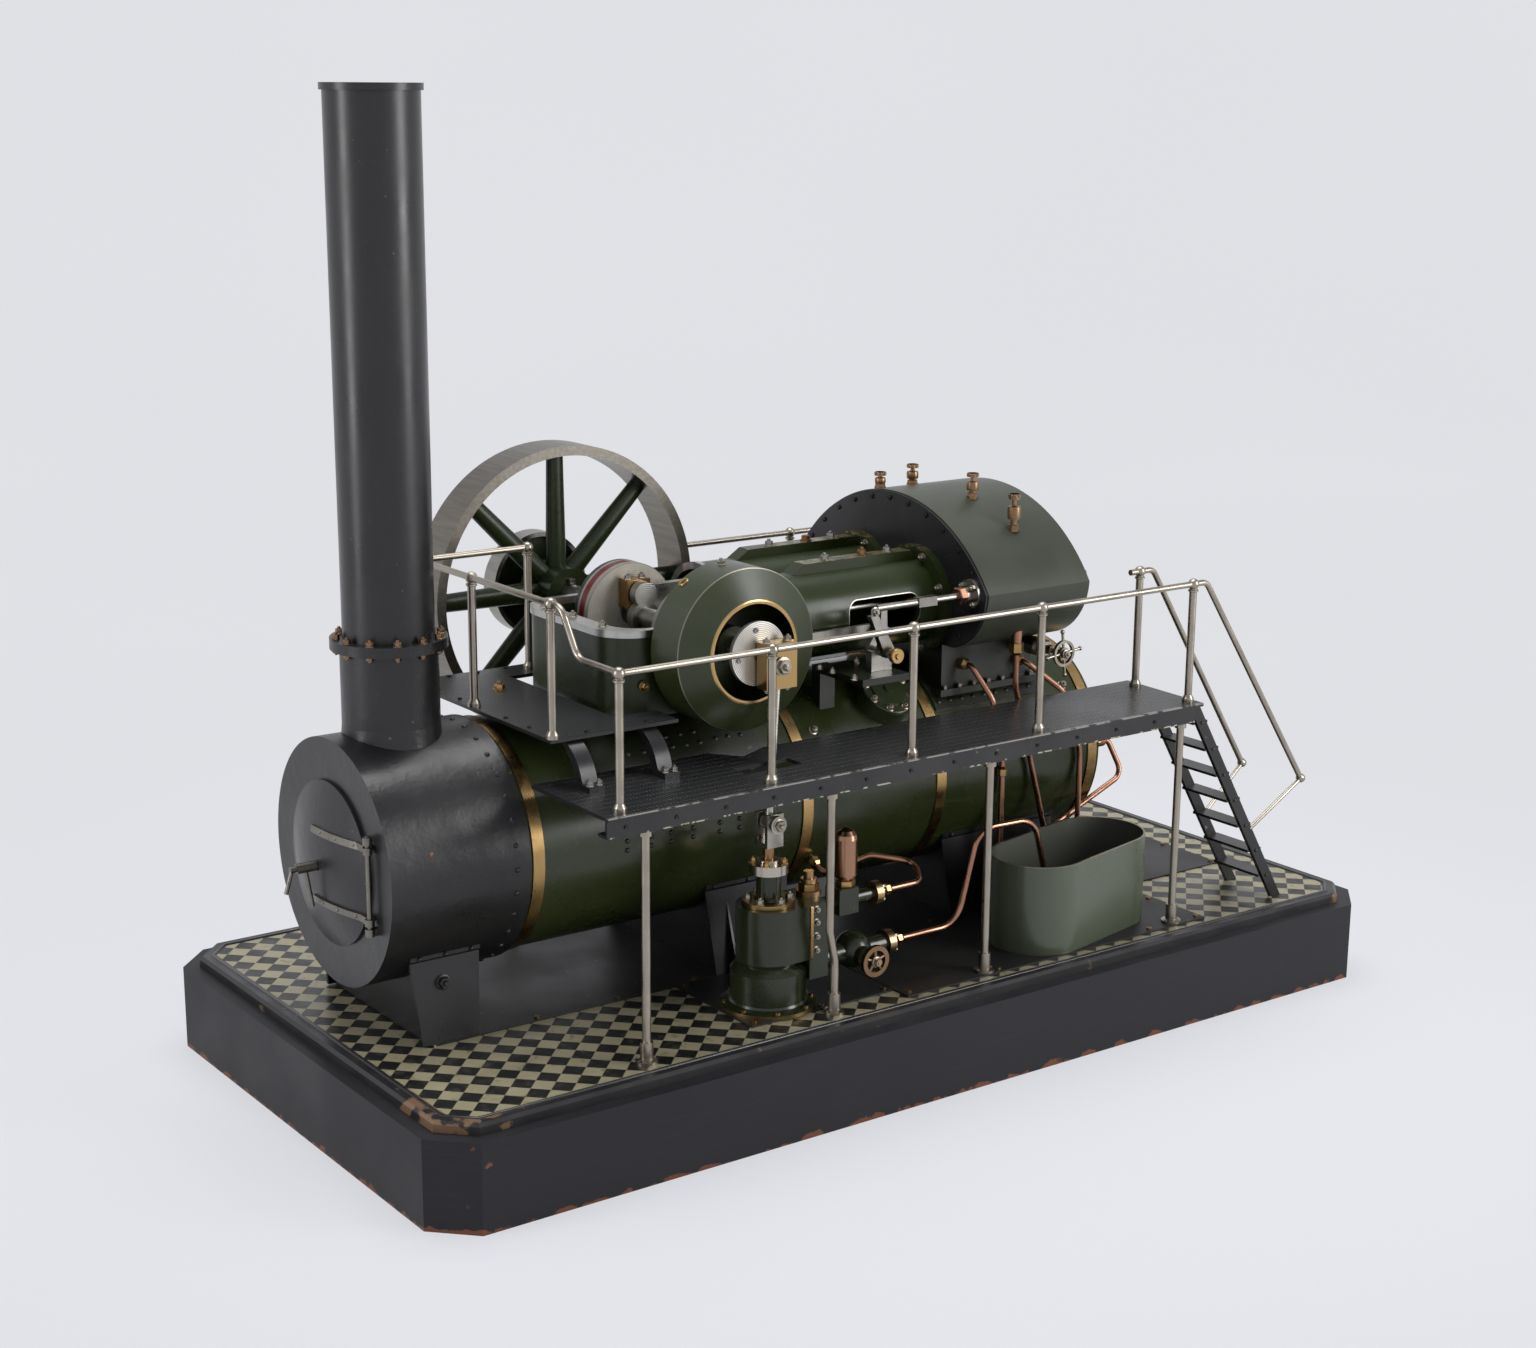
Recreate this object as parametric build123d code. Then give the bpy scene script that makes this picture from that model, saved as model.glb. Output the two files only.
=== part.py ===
from build123d import *
import math
import os

os.makedirs("parts", exist_ok=True)

# Museum model, about one eighth full size, of an overtype compound steam engine.
# Millimetres. The origin is at the middle of the plinth's underside, +X runs along the
# boiler from the smokebox to the ladder, -Y is the side with the pump, +Z is up.

# Plinth and chequered floor
plinth_length = 1000.0
plinth_depth = 500.0
plinth_height = 73.0
plinth_chamfer = 32.0
board_inset = 12.8
board_height = 9.0
board_chamfer = 25.3
floor_z = plinth_height + board_height
plate_thickness = 1.5
deck_plate_z = floor_z + plate_thickness

# Clearances
seat_gap = 0.2
run_gap = 0.1
slide_gap = 0.3

# Boiler and smokebox
boiler_z = 219.0
boiler_radius = 97.0
boiler_back_x = 279.0
smokebox_radius = 101.0
smokebox_front_x = -458.0
smokebox_length = 123.0
smokebox_wall = 3.0
door_opening_radius = 62.0
door_radius = 67.0
door_edge = 2.5
door_dish = 12.0
door_gap = 0.3
strap_spacing = 58.0
strap_width = 5.6
strap_thickness = 1.8
strap_tip_y = 8.0
hinge_x = -463.0
hinge_y = -72.0
hinge_pin_radius = 2.0
hinge_pin_reach = 12.0
dart_length = 22.0
dart_radius = 2.6
handle_radius = 1.7
band_width = 10.5
band_thickness = 1.2
band_places = (-326.5, -60.0, 88.0, 270.0)
saddle_half_width = 77.0
saddle_foot_half = 86.0
saddle_fin_x = -131.0
saddle_sheet = 3.0
saddle_flange = 7.0
saddle_taper = 6.0
front_saddle = (-433.0, -371.0)
middle_saddle = (-153.0, -67.0)
rear_saddle = (107.0, 240.0)

# Chimney
chimney_x = -402.5
base_radius = 39.0
stack_radius = 36.4
chimney_wall = 2.4
chimney_joint_z = 392.0
chimney_top_z = 819.0
flange_radius = 46.5
flange_thickness = 4.2
bead_radius = 2.7

# Crankshaft line
shaft_x = -145.0
shaft_z = 375.0
shaft_radius = 9.0
cylinder_spacing = 82.0
crank_throw = 20.0
crank_pin_radius = 6.0
disc_radius = 44.0
disc_width = 21.0
big_end_width = 14.0
web_width = 9.0
near_crank_angle = 0.0
far_crank_angle = 90.0

# Flywheel, belt pulley and governor drum
wheel_radius = 133.0
wheel_width = 42.0
wheel_near_y = 152.0
rim_depth = 9.0
spoke_count = 8
hub_radius = 23.0
hub_width = 50.0
pulley_radius = 48.0
pulley_width = 20.0
pulley_gap = 3.0
drum_radius = 67.5
drum_back_y = -86.5
drum_width = 38.0
drum_nose = 12.0
drum_mouth_radius = 41.0
drum_wall = 3.5
pump_disc_radius = 26.5
pump_disc_width = 4.0
pump_disc_y = -138.0
pump_throw = 14.8
pump_crank_angle = -36.0
pump_pin_radius = 5.0

# Crank bed
bed_left_x = -241.0
bed_right_x = -77.0
bed_half_width = 78.0
bed_wall = 5.0
bed_land = 14.0
bed_floor_z = 324.0
bed_bottom_z = 317.6
bed_rim_z = 391.0
bed_rim_height = 6.0
bed_rim_lip = 1.5
bed_corner = 34.0

# Guides, crossheads and rods
guide_radius = 38.0
guide_bore = 32.5
guide_flange_radius = 49.0
guide_flange_width = 8.0
window_left_x = -4.0
window_right_x = 74.0
window_height = 30.0
rib_width = 15.0
rib_height = 8.0
rod_length = 100.0
eye_radius = 7.5
eye_width = 10.0
rod_half_height = 5.0
wrist_setback = 18.0
crosshead_length = 54.0
piston_rod_radius = 4.0

# Cylinder casing
casing_front_x = 104.0
casing_length = 118.0
casing_half_width = 136.0
casing_top_z = 466.5
casing_crown_radius = 162.0
casing_floor_z = 338.0
casing_floor_half = 90.0
casing_haunch_y = 127.0
casing_haunch_z = 364.0
front_plate_thickness = 2.5
block_left_x = 108.0
block_right_x = 214.0
block_half_width = 70.0

# Valve gear
valve_y = 116.0
valve_z = 391.0
eccentric_throw = 9.0
eccentric_radius = 20.0
eccentric_width = 4.6
strap_radius = 26.0
rocker_x = 10.0
rocker_z = 350.0
rocker_shaft_radius = 4.0

# Platforms, columns and rails
deck_z = 287.0
deck_thickness = 3.0
deck_left_x = -335.0
deck_right_x = 292.0
far_deck_x = -5.0
deck_inner_y = 114.0
deck_outer_y = 215.0
fascia_depth = 17.0
fascia_width = 2.5
fascia_flange = 13.0
flange_sheet = 2.5
column_y = 208.0
column_places = (-297.6, -120.0, 47.4, 271.2)
bent_column_x = -120.0
bent_column_shift = 5.5
bend_low_z = 126.0
bend_high_z = 152.0
column_radius = 3.4
rail_y = 203.0
rail_places = (-317.0, -176.0, -34.0, 105.0, 284.0)
rail_radius = 2.7
rail_height = 107.0
post_radius = 3.4
ball_radius = 5.0
far_rail_y = 100.0
upper_deck_z = 325.0
upper_left_x = -326.0
upper_right_x = -207.0
upper_notch_x = -246.0
upper_notch_half = 84.0
upper_near_y = -118.0
upper_far_y = 118.0
bracket_places = (-304.0, -234.0)
bracket_width = 14.0
far_column_y = 110.0
ladder_half_width = 28.0
ladder_y = -178.0
ladder_top_x = 289.0
ladder_foot_x = 409.0
tread_count = 7

# Feed pump and tank
pump_x = -149.0
pump_y = -163.0
pump_base_radius = 40.0
pump_barrel_radius = 31.5
pump_casing_radius = 27.0
ram_radius = 4.8
pump_eye_z = 240.0
stop_valve_x = 197.0
stop_valve_z = 329.0
stop_wheel_y = -131.0
stop_spindle_radius = 2.5
stop_handle_reach = 21.5
suction_z = 111.5
delivery_z = 158.5
tank_x = 182.5
tank_y = -163.4
tank_length = 178.5
tank_width = 86.0
tank_height = 80.5
tank_wall = 1.8
tank_turn = 12.5
pipe_radius = 2.6

FACING = {
    "+x": Rot(0, 0, 0),
    "-x": Rot(0, 0, 180),
    "+y": Rot(0, 0, 90),
    "-y": Rot(0, 0, -90),
    "+z": Rot(0, -90, 0),
    "-z": Rot(0, 90, 0),
}


def block(x0, x1, y0, y1, z0, z1):
    """A rectangular block between two corners."""
    size = (abs(x1 - x0), abs(y1 - y0), abs(z1 - z0))
    return Pos((x0 + x1) / 2, (y0 + y1) / 2, (z0 + z1) / 2) * Box(*size)


def turned(outline, at, facing):
    """A turned piece: (distance, radius) points spun about a line from a point."""
    face = make_face(Polyline(*outline, close=True))
    return Pos(*at) * FACING[facing] * revolve(face, Axis.X, 360)


def bar(start, end, radius):
    """A round bar from one point to another."""
    run = Vector(*end) - Vector(*start)
    return extrude(Plane(origin=start, z_dir=run) * Circle(radius), amount=run.length)


def ball(at, radius):
    """A round knob."""
    return Pos(*at) * Sphere(radius)


def bent_pipe(points, radii, radius):
    """A round pipe along straight runs joined by tangent bends."""
    path = FilletPolyline(*points, radius=radii)
    start = Plane(origin=path @ 0, z_dir=path % 0)
    return sweep(start * Circle(radius), path=path)


def profile_y(outline, y0, y1):
    """A flat outline of (x, z) points made thick from y0 to y1."""
    face = Plane.XZ * make_face(Polyline(*outline, close=True))
    return Pos(0, max(y0, y1), 0) * extrude(face, amount=abs(y1 - y0))


def profile_x(face, x0, x1):
    """A face drawn in the YZ plane made thick from x0 to x1."""
    return Pos(x0, 0, 0) * extrude(Plane.YZ * face, amount=x1 - x0)


def save(name, *solids):
    """Writes one or more separate solids as one named piece."""
    shape = solids[0] if len(solids) == 1 else Compound(children=list(solids))
    export_step(shape, f"parts/{name}.step")


def chamfered_slab(length, depth, chamfer, z0, z1):
    """A slab with its four upright corners cut off."""
    slab = block(-length / 2, length / 2, -depth / 2, depth / 2, z0, z1)
    return chamfer_corners(slab, chamfer)


def chamfer_corners(slab, size):
    """Cuts the upright corners of a slab."""
    return chamfer(slab.edges().filter_by(Axis.Z), size)


def make_plinth():
    """Black painted block, with a moulded board that carries the chequered floor."""
    save("plinth", chamfered_slab(plinth_length, plinth_depth, plinth_chamfer, 0, plinth_height))
    length = plinth_length - 2 * board_inset
    depth = plinth_depth - 2 * board_inset
    board = chamfered_slab(length, depth, board_chamfer, plinth_height, floor_z)
    board = chamfer(board.faces().sort_by(Axis.Z)[-1].edges(), 2.5)
    save("floor_board", board)


def make_floor_plates():
    """Thin sheet plates screwed to the floor under the boiler, pump, tank and ladder."""
    save(
        "floor_plates",
        block(-418.5, 250, -87, 87, floor_z, deck_plate_z),
        block(-190, -44.5, -198.5, -88, floor_z, deck_plate_z),
        block(-43.5, 306, -217, -88, floor_z, deck_plate_z),
        block(307, 436, -108, 34, floor_z, deck_plate_z),
    )


def make_smokebox():
    """Riveted drum with a flat front ring, open where the door closes it."""
    wall = smokebox_wall
    outline = [
        (0, door_opening_radius),
        (0, smokebox_radius),
        (smokebox_length, smokebox_radius),
        (smokebox_length, 0),
        (smokebox_length - wall, 0),
        (smokebox_length - wall, smokebox_radius - wall),
        (wall, smokebox_radius - wall),
        (wall, door_opening_radius),
    ]
    drum = turned(outline, (smokebox_front_x, 0, boiler_z), "+x")
    flue = bar((chimney_x, 0, boiler_z), (chimney_x, 0, boiler_z + 120), base_radius - 6)
    save("smokebox", drum - flue)


def strap_z():
    """Heights of the two strap hinges."""
    return (boiler_z - strap_spacing / 2, boiler_z + strap_spacing / 2)


def dish(thickness):
    """Shallow dome of the door, made thicker for what lies on it."""
    radius = (door_radius**2 + door_dish**2) / (2 * door_dish)
    low = radius - door_dish
    outer = radius + thickness
    edge = math.sqrt(outer**2 - low**2)
    half_way = math.asin(edge / outer) / 2
    middle = (outer * math.cos(half_way) - low, outer * math.sin(half_way))
    top = (outer - low, 0)
    arc = ThreePointArc((0, edge), middle, top)
    face = make_face([Line((0, 0), (0, edge)), arc, Line(top, (0, 0))])
    rim_x = smokebox_front_x - door_gap - door_edge
    return Pos(rim_x, 0, boiler_z) * FACING["-x"] * revolve(face, Axis.X, 360)


def make_door():
    """Dished door, its two strap hinges, the hinge pin and the dart handles."""
    back_x = smokebox_front_x - door_gap
    rim_x = back_x - door_edge
    door = bar((back_x, 0, boiler_z), (rim_x, 0, boiler_z), door_radius) + dish(0.0)
    save("smokebox_door", door)
    straps = []
    shell = dish(strap_thickness)
    for z in strap_z():
        half = strap_width / 2
        strip = block(rim_x - 30, rim_x, -door_radius, strap_tip_y, z - half, z + half)
        heel = block(hinge_x - 1, hinge_x + 1, hinge_y, hinge_y + 20, z - half, z + half)
        eye = bar((hinge_x, hinge_y, z - half), (hinge_x, hinge_y, z + half), 3.8)
        bore = bar((hinge_x, hinge_y, z - 6), (hinge_x, hinge_y, z + 6), hinge_pin_radius + run_gap)
        straps.append((strip & shell) + heel + eye - door - bore)
    save("door_straps", *straps)
    low, high = strap_z()
    low = low - hinge_pin_reach
    high = high + hinge_pin_reach
    pin = bar((hinge_x, hinge_y, low), (hinge_x, hinge_y, high), hinge_pin_radius)
    for z in (low + 4, high - 4):
        lug = block(smokebox_front_x, hinge_x, hinge_y - 2.5, hinge_y + 2.5, z - 3, z + 3)
        pin = pin + lug + bar((hinge_x, hinge_y, z - 3), (hinge_x, hinge_y, z + 3), 3.8)
    save("door_hinge_pin", pin)
    nose_x = rim_x - door_dish - 0.3
    end = dart_length
    boss = [(0, 0), (0, 4.2), (end * 0.75, 4.2), (end * 0.75, dart_radius), (end, dart_radius), (end, 0)]
    dart = turned(boss, (nose_x, 0, boiler_z), "-x")
    dart = dart + bar((nose_x - 9, 0, boiler_z), (nose_x - 3.5, 0, boiler_z - 33), handle_radius)
    dart = dart + bar((nose_x - end + 2, 0, boiler_z), (nose_x - end - 4, 0, boiler_z - 19), handle_radius)
    save("door_dart", dart)


def make_boiler():
    """Lagged barrel in gloss green sheet, with brass bands and a flanged back plate."""
    front_x = smokebox_front_x + smokebox_length
    barrel = bar((front_x, 0, boiler_z), (boiler_back_x, 0, boiler_z), boiler_radius)
    plate = turned(
        [(0, 0), (0, 92), (4, 92), (8, 86), (8, 40), (12, 38), (12, 0)],
        (boiler_back_x, 0, boiler_z),
        "+x",
    )
    save("boiler", barrel + plate)
    bands = []
    for x in band_places:
        inner = boiler_radius + seat_gap
        outer = inner + band_thickness
        half = band_width / 2
        bands.append(
            turned(
                [(-half, inner), (-half, outer), (half, outer), (half, inner)],
                (x, 0, boiler_z),
                "+x",
            )
        )
    save("boiler_bands", *bands)


def saddle(ends, radius):
    """Stool of bent sheet: two leaning sides, cross plates between them and a flange on the drum."""
    left, right = ends
    wide = saddle_half_width
    foot = saddle_foot_half
    sheet = saddle_sheet
    drum = bar((left - 5, 0, boiler_z), (right + 5, 0, boiler_z), radius + seat_gap)
    grip = radius + seat_gap + 2.0
    top = boiler_z - math.sqrt((radius + 1) ** 2 - wide**2)
    side_outline = [
        (left, top),
        (left + saddle_taper, deck_plate_z),
        (right - saddle_taper, deck_plate_z),
        (right, top),
    ]
    tapered = profile_y(side_outline, -foot, foot)
    whole = [(-foot, deck_plate_z), (-wide, top), (wide, top), (foot, deck_plate_z)]
    room = [(-foot + sheet, deck_plate_z), (-wide + sheet, top), (wide - sheet, top), (foot - sheet, deck_plate_z)]
    outer = profile_x(make_face(Polyline(*whole, close=True)), left, right)
    inner = profile_x(make_face(Polyline(*room, close=True)), left, right)
    stool = (outer - inner) & tapered
    ring = turned([(0, radius), (0, grip), (right - left, grip), (right - left, radius)], (left, 0, boiler_z), "+x")
    for side in (-1, 1):
        flange = ring & block(left, right, side * (wide - 2), side * (wide + 2), top - 4, top + saddle_flange)
        stool = stool + flange
    for x in (left + 14, right - 14):
        stool = stool + profile_x(make_face(Polyline(*whole, close=True)), x - 2, x + 2)
    return stool - drum


def saddle_fin():
    """Small upright gusset on the near side of the middle stool."""
    wide = saddle_half_width
    foot = saddle_foot_half
    outline = [(-wide, 150), (-foot + 1, deck_plate_z), (-foot - 11, deck_plate_z), (-wide - 8, 122)]
    return profile_x(make_face(Polyline(*outline, close=True)), saddle_fin_x - 1, saddle_fin_x + 1)


def make_saddles():
    """Stools under the smokebox, the middle and the firebox end."""
    save(
        "boiler_saddles",
        saddle(front_saddle, smokebox_radius),
        saddle(middle_saddle, boiler_radius) + saddle_fin(),
        saddle(rear_saddle, boiler_radius),
    )


def make_chimney():
    """Bolted base on the smokebox and a tall stack with a beaded top."""
    wall = chimney_wall
    start = boiler_z + 70
    joint = chimney_joint_z
    base = turned(
        [
            (0, base_radius - wall),
            (0, base_radius + 4),
            (26, base_radius + 1),
            (38, base_radius),
            (joint - flange_thickness - start, base_radius),
            (joint - flange_thickness - start, flange_radius),
            (joint - start, flange_radius),
            (joint - start, base_radius - wall),
        ],
        (chimney_x, 0, start),
        "+z",
    )
    drum = bar((chimney_x - 90, 0, boiler_z), (chimney_x + 90, 0, boiler_z), smokebox_radius + seat_gap)
    save("chimney_base", base - drum)
    height = chimney_top_z - joint
    stack = turned(
        [
            (0, stack_radius - wall),
            (0, flange_radius),
            (flange_thickness, flange_radius),
            (flange_thickness, stack_radius),
            (height - bead_radius * 2, stack_radius + 0.5),
            (height - bead_radius * 2, stack_radius + bead_radius),
            (height, stack_radius + bead_radius),
            (height, stack_radius - wall),
        ],
        (chimney_x, 0, joint),
        "+z",
    )
    save("chimney_stack", stack)


def arc_plate(x0, x1, start, end, thickness):
    """A curved plate lying on the barrel between two angles from the top."""
    inner = boiler_radius + seat_gap
    ring = turned(
        [(0, inner), (0, inner + thickness), (x1 - x0, inner + thickness), (x1 - x0, inner)],
        (x0, 0, boiler_z),
        "+x",
    )
    reach = 200.0
    points = [(0, boiler_z)]
    steps = 4
    for i in range(steps + 1):
        angle = math.radians(start + (end - start) * i / steps)
        points.append((reach * math.sin(angle), boiler_z + reach * math.cos(angle)))
    wedge = profile_x(make_face(Polyline(*points, close=True)), x0 - 1, x1 + 1)
    return ring & wedge


def make_riveted_plates():
    """Curved plates riveted to the barrel under the crank bed and the cylinders."""
    save(
        "riveted_plates",
        arc_plate(-262, -98, -74, 74, 1.2),
        arc_plate(97, 226, -52, 52, 1.2),
    )


def make_bed():
    """Cast crank pit with a machined rim and two round faces for the guides."""
    left, right = bed_left_x, bed_right_x
    width = 2 * bed_half_width
    middle = (left + right) / 2
    length = right - left
    shell = Pos(middle, 0, bed_bottom_z) * extrude(
        RectangleRounded(length, width, bed_corner), amount=bed_rim_z - bed_bottom_z
    )
    rim = Pos(middle, 0, bed_rim_z - bed_rim_height) * extrude(
        RectangleRounded(length + 2 * bed_rim_lip, width + 2 * bed_rim_lip, bed_corner + bed_rim_lip),
        amount=bed_rim_height,
    )
    pit_length = length - bed_wall - bed_land
    pit = Pos(right - bed_wall - pit_length / 2, 0, bed_floor_z) * extrude(
        RectangleRounded(pit_length, width - 2 * bed_wall, bed_corner - bed_wall), amount=90
    )
    bed = shell + rim
    for side in (-1, 1):
        y = side * cylinder_spacing / 2
        bed = bed + bar((right - 8, y, shaft_z), (right, y, shaft_z), guide_radius + 1)
    bed = bed - pit - block(right, right + 20, -width, width, bed_bottom_z, bed_rim_z + 40)
    for side in (-1, 1):
        y = side * cylinder_spacing / 2
        bed = bed - bar((right - 20, y, shaft_z), (right + 5, y, shaft_z), guide_bore)
        wall_y = side * bed_half_width
        bed = bed - bar((shaft_x, wall_y - 9, shaft_z), (shaft_x, wall_y + 9, shaft_z), 15)
        bed = bed - block(shaft_x - 15, shaft_x + 15, wall_y - 9, wall_y + 9, shaft_z, shaft_z + 40)
    drum = bar((left - 20, 0, boiler_z), (right + 20, 0, boiler_z), boiler_radius + 1.2 + 2 * seat_gap)
    save("crank_bed", bed - drum)
    bearings = []
    for side in (-1, 1):
        wall_y = side * bed_half_width
        inner_y = wall_y - side * 5.5
        outer_y = wall_y + side * 1.5
        brass = bar((shaft_x, inner_y, shaft_z), (shaft_x, outer_y, shaft_z), 15 - seat_gap)
        cap = block(shaft_x - 14.8, shaft_x + 14.8, min(inner_y, outer_y), max(inner_y, outer_y), shaft_z, shaft_z + 19)
        hole = bar((shaft_x, wall_y - 12, shaft_z), (shaft_x, wall_y + 12, shaft_z), shaft_radius + run_gap)
        bearings.append(brass + cap - hole)
    save("main_bearings", *bearings)


def pin_place(angle, throw):
    """Where a crank pin stands at rest."""
    turn = math.radians(angle)
    return shaft_x + throw * math.cos(turn), shaft_z + throw * math.sin(turn)


def make_crankshaft():
    """Two-throw crankshaft with round balance discs and the overhung pump crank."""
    half = cylinder_spacing / 2
    pin_half = big_end_width / 2 + 1
    near_end = pump_disc_y
    far_end = wheel_near_y + wheel_width + pulley_gap + pulley_width + 8
    web_out = half - pin_half
    shaft = bar((shaft_x, -web_out, shaft_z), (shaft_x, web_out, shaft_z), shaft_radius)
    for side, angle in ((-1, near_crank_angle), (1, far_crank_angle)):
        px, pz = pin_place(angle, crank_throw)
        y_in = side * (half - pin_half)
        y_out = side * (half + pin_half)
        disc = bar((shaft_x, y_out, shaft_z), (shaft_x, y_out + side * disc_width, shaft_z), disc_radius)
        web = bar((shaft_x, y_in, shaft_z), (shaft_x, y_in - side * web_width, shaft_z), 14)
        web = web + bar((px, y_in, pz), (px, y_in - side * web_width, pz), 11)
        pin = bar((px, y_in, pz), (px, y_out, pz), crank_pin_radius)
        shaft = shaft + web + pin + disc
    ends = bar((shaft_x, near_end, shaft_z), (shaft_x, -half - pin_half, shaft_z), shaft_radius)
    ends = ends + bar((shaft_x, half + pin_half, shaft_z), (shaft_x, far_end, shaft_z), shaft_radius)
    shaft = shaft + ends
    disc = bar((shaft_x, pump_disc_y, shaft_z), (shaft_x, pump_disc_y - pump_disc_width, shaft_z), pump_disc_radius)
    px, pz = pin_place(pump_crank_angle, pump_throw)
    front = pump_disc_y - pump_disc_width
    pin = bar((px, front, pz), (px, front - 17, pz), pump_pin_radius)
    shaft = shaft + disc + pin
    for side in (-1, 1):
        centre = eccentric_centre(side)
        y = eccentric_y(side)
        half_width = eccentric_width / 2
        shaft = shaft + bar((centre[0], y - half_width, centre[1]), (centre[0], y + half_width, centre[1]), eccentric_radius)
    save("crankshaft", shaft)


def eccentric_y(side):
    """Middle of each valve eccentric, just outside the crank bed."""
    return side * (bed_half_width + bed_rim_lip + 1.4 + eccentric_width / 2)


def eccentric_centre(side):
    """Centre of each valve eccentric at rest, below the shaft."""
    return pin_place(-90.0, eccentric_throw)


def spoke(angle):
    """One oval tapering spoke of the flywheel."""
    inner = Plane(origin=(hub_radius - 4, 0, 0), z_dir=(1, 0, 0), x_dir=(0, 1, 0)) * Ellipse(7.5, 10)
    outer = Plane(origin=(wheel_radius - rim_depth + 2, 0, 0), z_dir=(1, 0, 0), x_dir=(0, 1, 0)) * Ellipse(6, 8)
    return Rot(0, -angle, 0) * loft([inner, outer])


def make_flywheel():
    """Cast flywheel with a flat rim and eight oval spokes, and the belt pulley beside it."""
    near = wheel_near_y
    far = near + wheel_width
    middle = near + wheel_width / 2
    rim = turned(
        [(0, wheel_radius - rim_depth), (0, wheel_radius), (wheel_width, wheel_radius), (wheel_width, wheel_radius - rim_depth)],
        (0, near, 0),
        "+y",
    )
    hub = bar((0, middle - hub_width / 2, 0), (0, middle + hub_width / 2, 0), hub_radius)
    wheel = rim + hub
    for i in range(spoke_count):
        wheel = wheel + Pos(0, middle, 0) * spoke(90 + 360 / spoke_count * i)
    wheel = wheel - bar((0, near - 40, 0), (0, far + 40, 0), shaft_radius + 0.02)
    save("flywheel", Pos(shaft_x, 0, shaft_z) * wheel)
    start = middle + hub_width / 2 + pulley_gap
    pulley = turned(
        [
            (0, shaft_radius + 0.02),
            (0, 15),
            (pulley_width / 2 - 2, 15),
            (pulley_width / 2 - 2, pulley_radius - 4),
            (0, pulley_radius - 4),
            (0, pulley_radius),
            (pulley_width, pulley_radius),
            (pulley_width, pulley_radius - 4),
            (pulley_width / 2 + 2, pulley_radius - 4),
            (pulley_width / 2 + 2, 15),
            (pulley_width, 15),
            (pulley_width, shaft_radius + 0.02),
        ],
        (shaft_x, start, shaft_z),
        "+y",
    )
    save("belt_pulley", pulley)


def make_drum():
    """Governor drum keyed on the near end of the shaft, open at the front."""
    wall = drum_wall
    outline = [
        (0, shaft_radius + 0.02),
        (0, drum_radius),
        (drum_width, drum_radius),
        (drum_width + drum_nose, drum_mouth_radius + 1),
        (drum_width + drum_nose, drum_mouth_radius - 1),
        (drum_width + drum_nose - wall, drum_mouth_radius - 1),
        (drum_width - wall / 2, drum_radius - wall),
        (wall, drum_radius - wall),
        (wall, 16),
        (20, 16),
        (20, shaft_radius + 0.02),
    ]
    save("governor_drum", turned(outline, (shaft_x, drum_back_y, shaft_z), "-y"))


def make_guides():
    """Bored trunk guides between the crank bed and the cylinders."""
    guides = []
    for side in (-1, 1):
        y = side * cylinder_spacing / 2
        start = bed_right_x
        end = casing_front_x - front_plate_thickness
        tube = bar((start, y, shaft_z), (end, y, shaft_z), guide_radius)
        flange = bar((end - guide_flange_width, y, shaft_z), (end, y, shaft_z), guide_flange_radius)
        limit = block(start, end, side * 0.2, side * 120, 300, 450)
        rib = profile_y(
            [
                (-52, shaft_z + guide_radius - 6),
                (-30, shaft_z + guide_radius + rib_height),
                (end - 14, shaft_z + guide_radius + rib_height),
                (end - 4, shaft_z + guide_radius - 6),
            ],
            y - rib_width / 2,
            y + rib_width / 2,
        )
        body = (tube + flange + rib) & limit
        body = body - bar((start - 5, y, shaft_z), (end + 5, y, shaft_z), guide_bore)
        centre = (window_left_x + window_right_x) / 2
        hole = extrude(
            Plane(origin=(centre, y, shaft_z), z_dir=(0, side, 0), x_dir=(1, 0, 0))
            * RectangleRounded(window_right_x - window_left_x, window_height, 11),
            amount=60,
        )
        guides.append(body - hole)
    save("trunk_guides", *guides)


def rod_shape(pin_x, pin_z, y, end_x):
    """Connecting rod lying level from its crank pin to its small end."""
    half = big_end_width / 2
    body = block(pin_x - 12, pin_x + 11, y - half, y + half, pin_z - 12, pin_z + 12)
    shank = block(pin_x, end_x, y - 4, y + 4, pin_z - rod_half_height, pin_z + rod_half_height)
    eye = bar((end_x, y - eye_width / 2, pin_z), (end_x, y + eye_width / 2, pin_z), eye_radius)
    hole = bar((pin_x, y - 20, pin_z), (pin_x, y + 20, pin_z), crank_pin_radius + run_gap)
    return body + shank + eye - hole


def make_running_gear():
    """Connecting rods, crossheads and piston rods."""
    names = {-1: "near", 1: "far"}
    crossheads = []
    for side, angle in ((-1, near_crank_angle), (1, far_crank_angle)):
        y = side * cylinder_spacing / 2
        px, pz = pin_place(angle, crank_throw)
        wrist = px + rod_length
        save(names[side] + "_connecting_rod", rod_shape(px, pz, y, wrist))
        front = shaft_x + crank_throw + rod_length + wrist_setback
        body = bar((front - crosshead_length, y, shaft_z), (front, y, shaft_z), guide_bore - slide_gap)
        body = body - bar((front - crosshead_length - 1, y, shaft_z), (front - 6, y, shaft_z), guide_bore - 3.0)
        slot_half = eye_width / 2 + 1
        cheek = block(front - 30, front - 5, y - slot_half - 4, y + slot_half + 4, shaft_z - 10, shaft_z + 10)
        slot = block(front - 31, front - 6, y - slot_half, y + slot_half, shaft_z - 12, shaft_z + 12)
        rod = bar((front - 1, y, shaft_z), (casing_front_x - front_plate_thickness - 0.3, y, shaft_z), piston_rod_radius)
        crossheads.append(body + (cheek - slot) + rod)
    save("crossheads", *crossheads)


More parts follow.
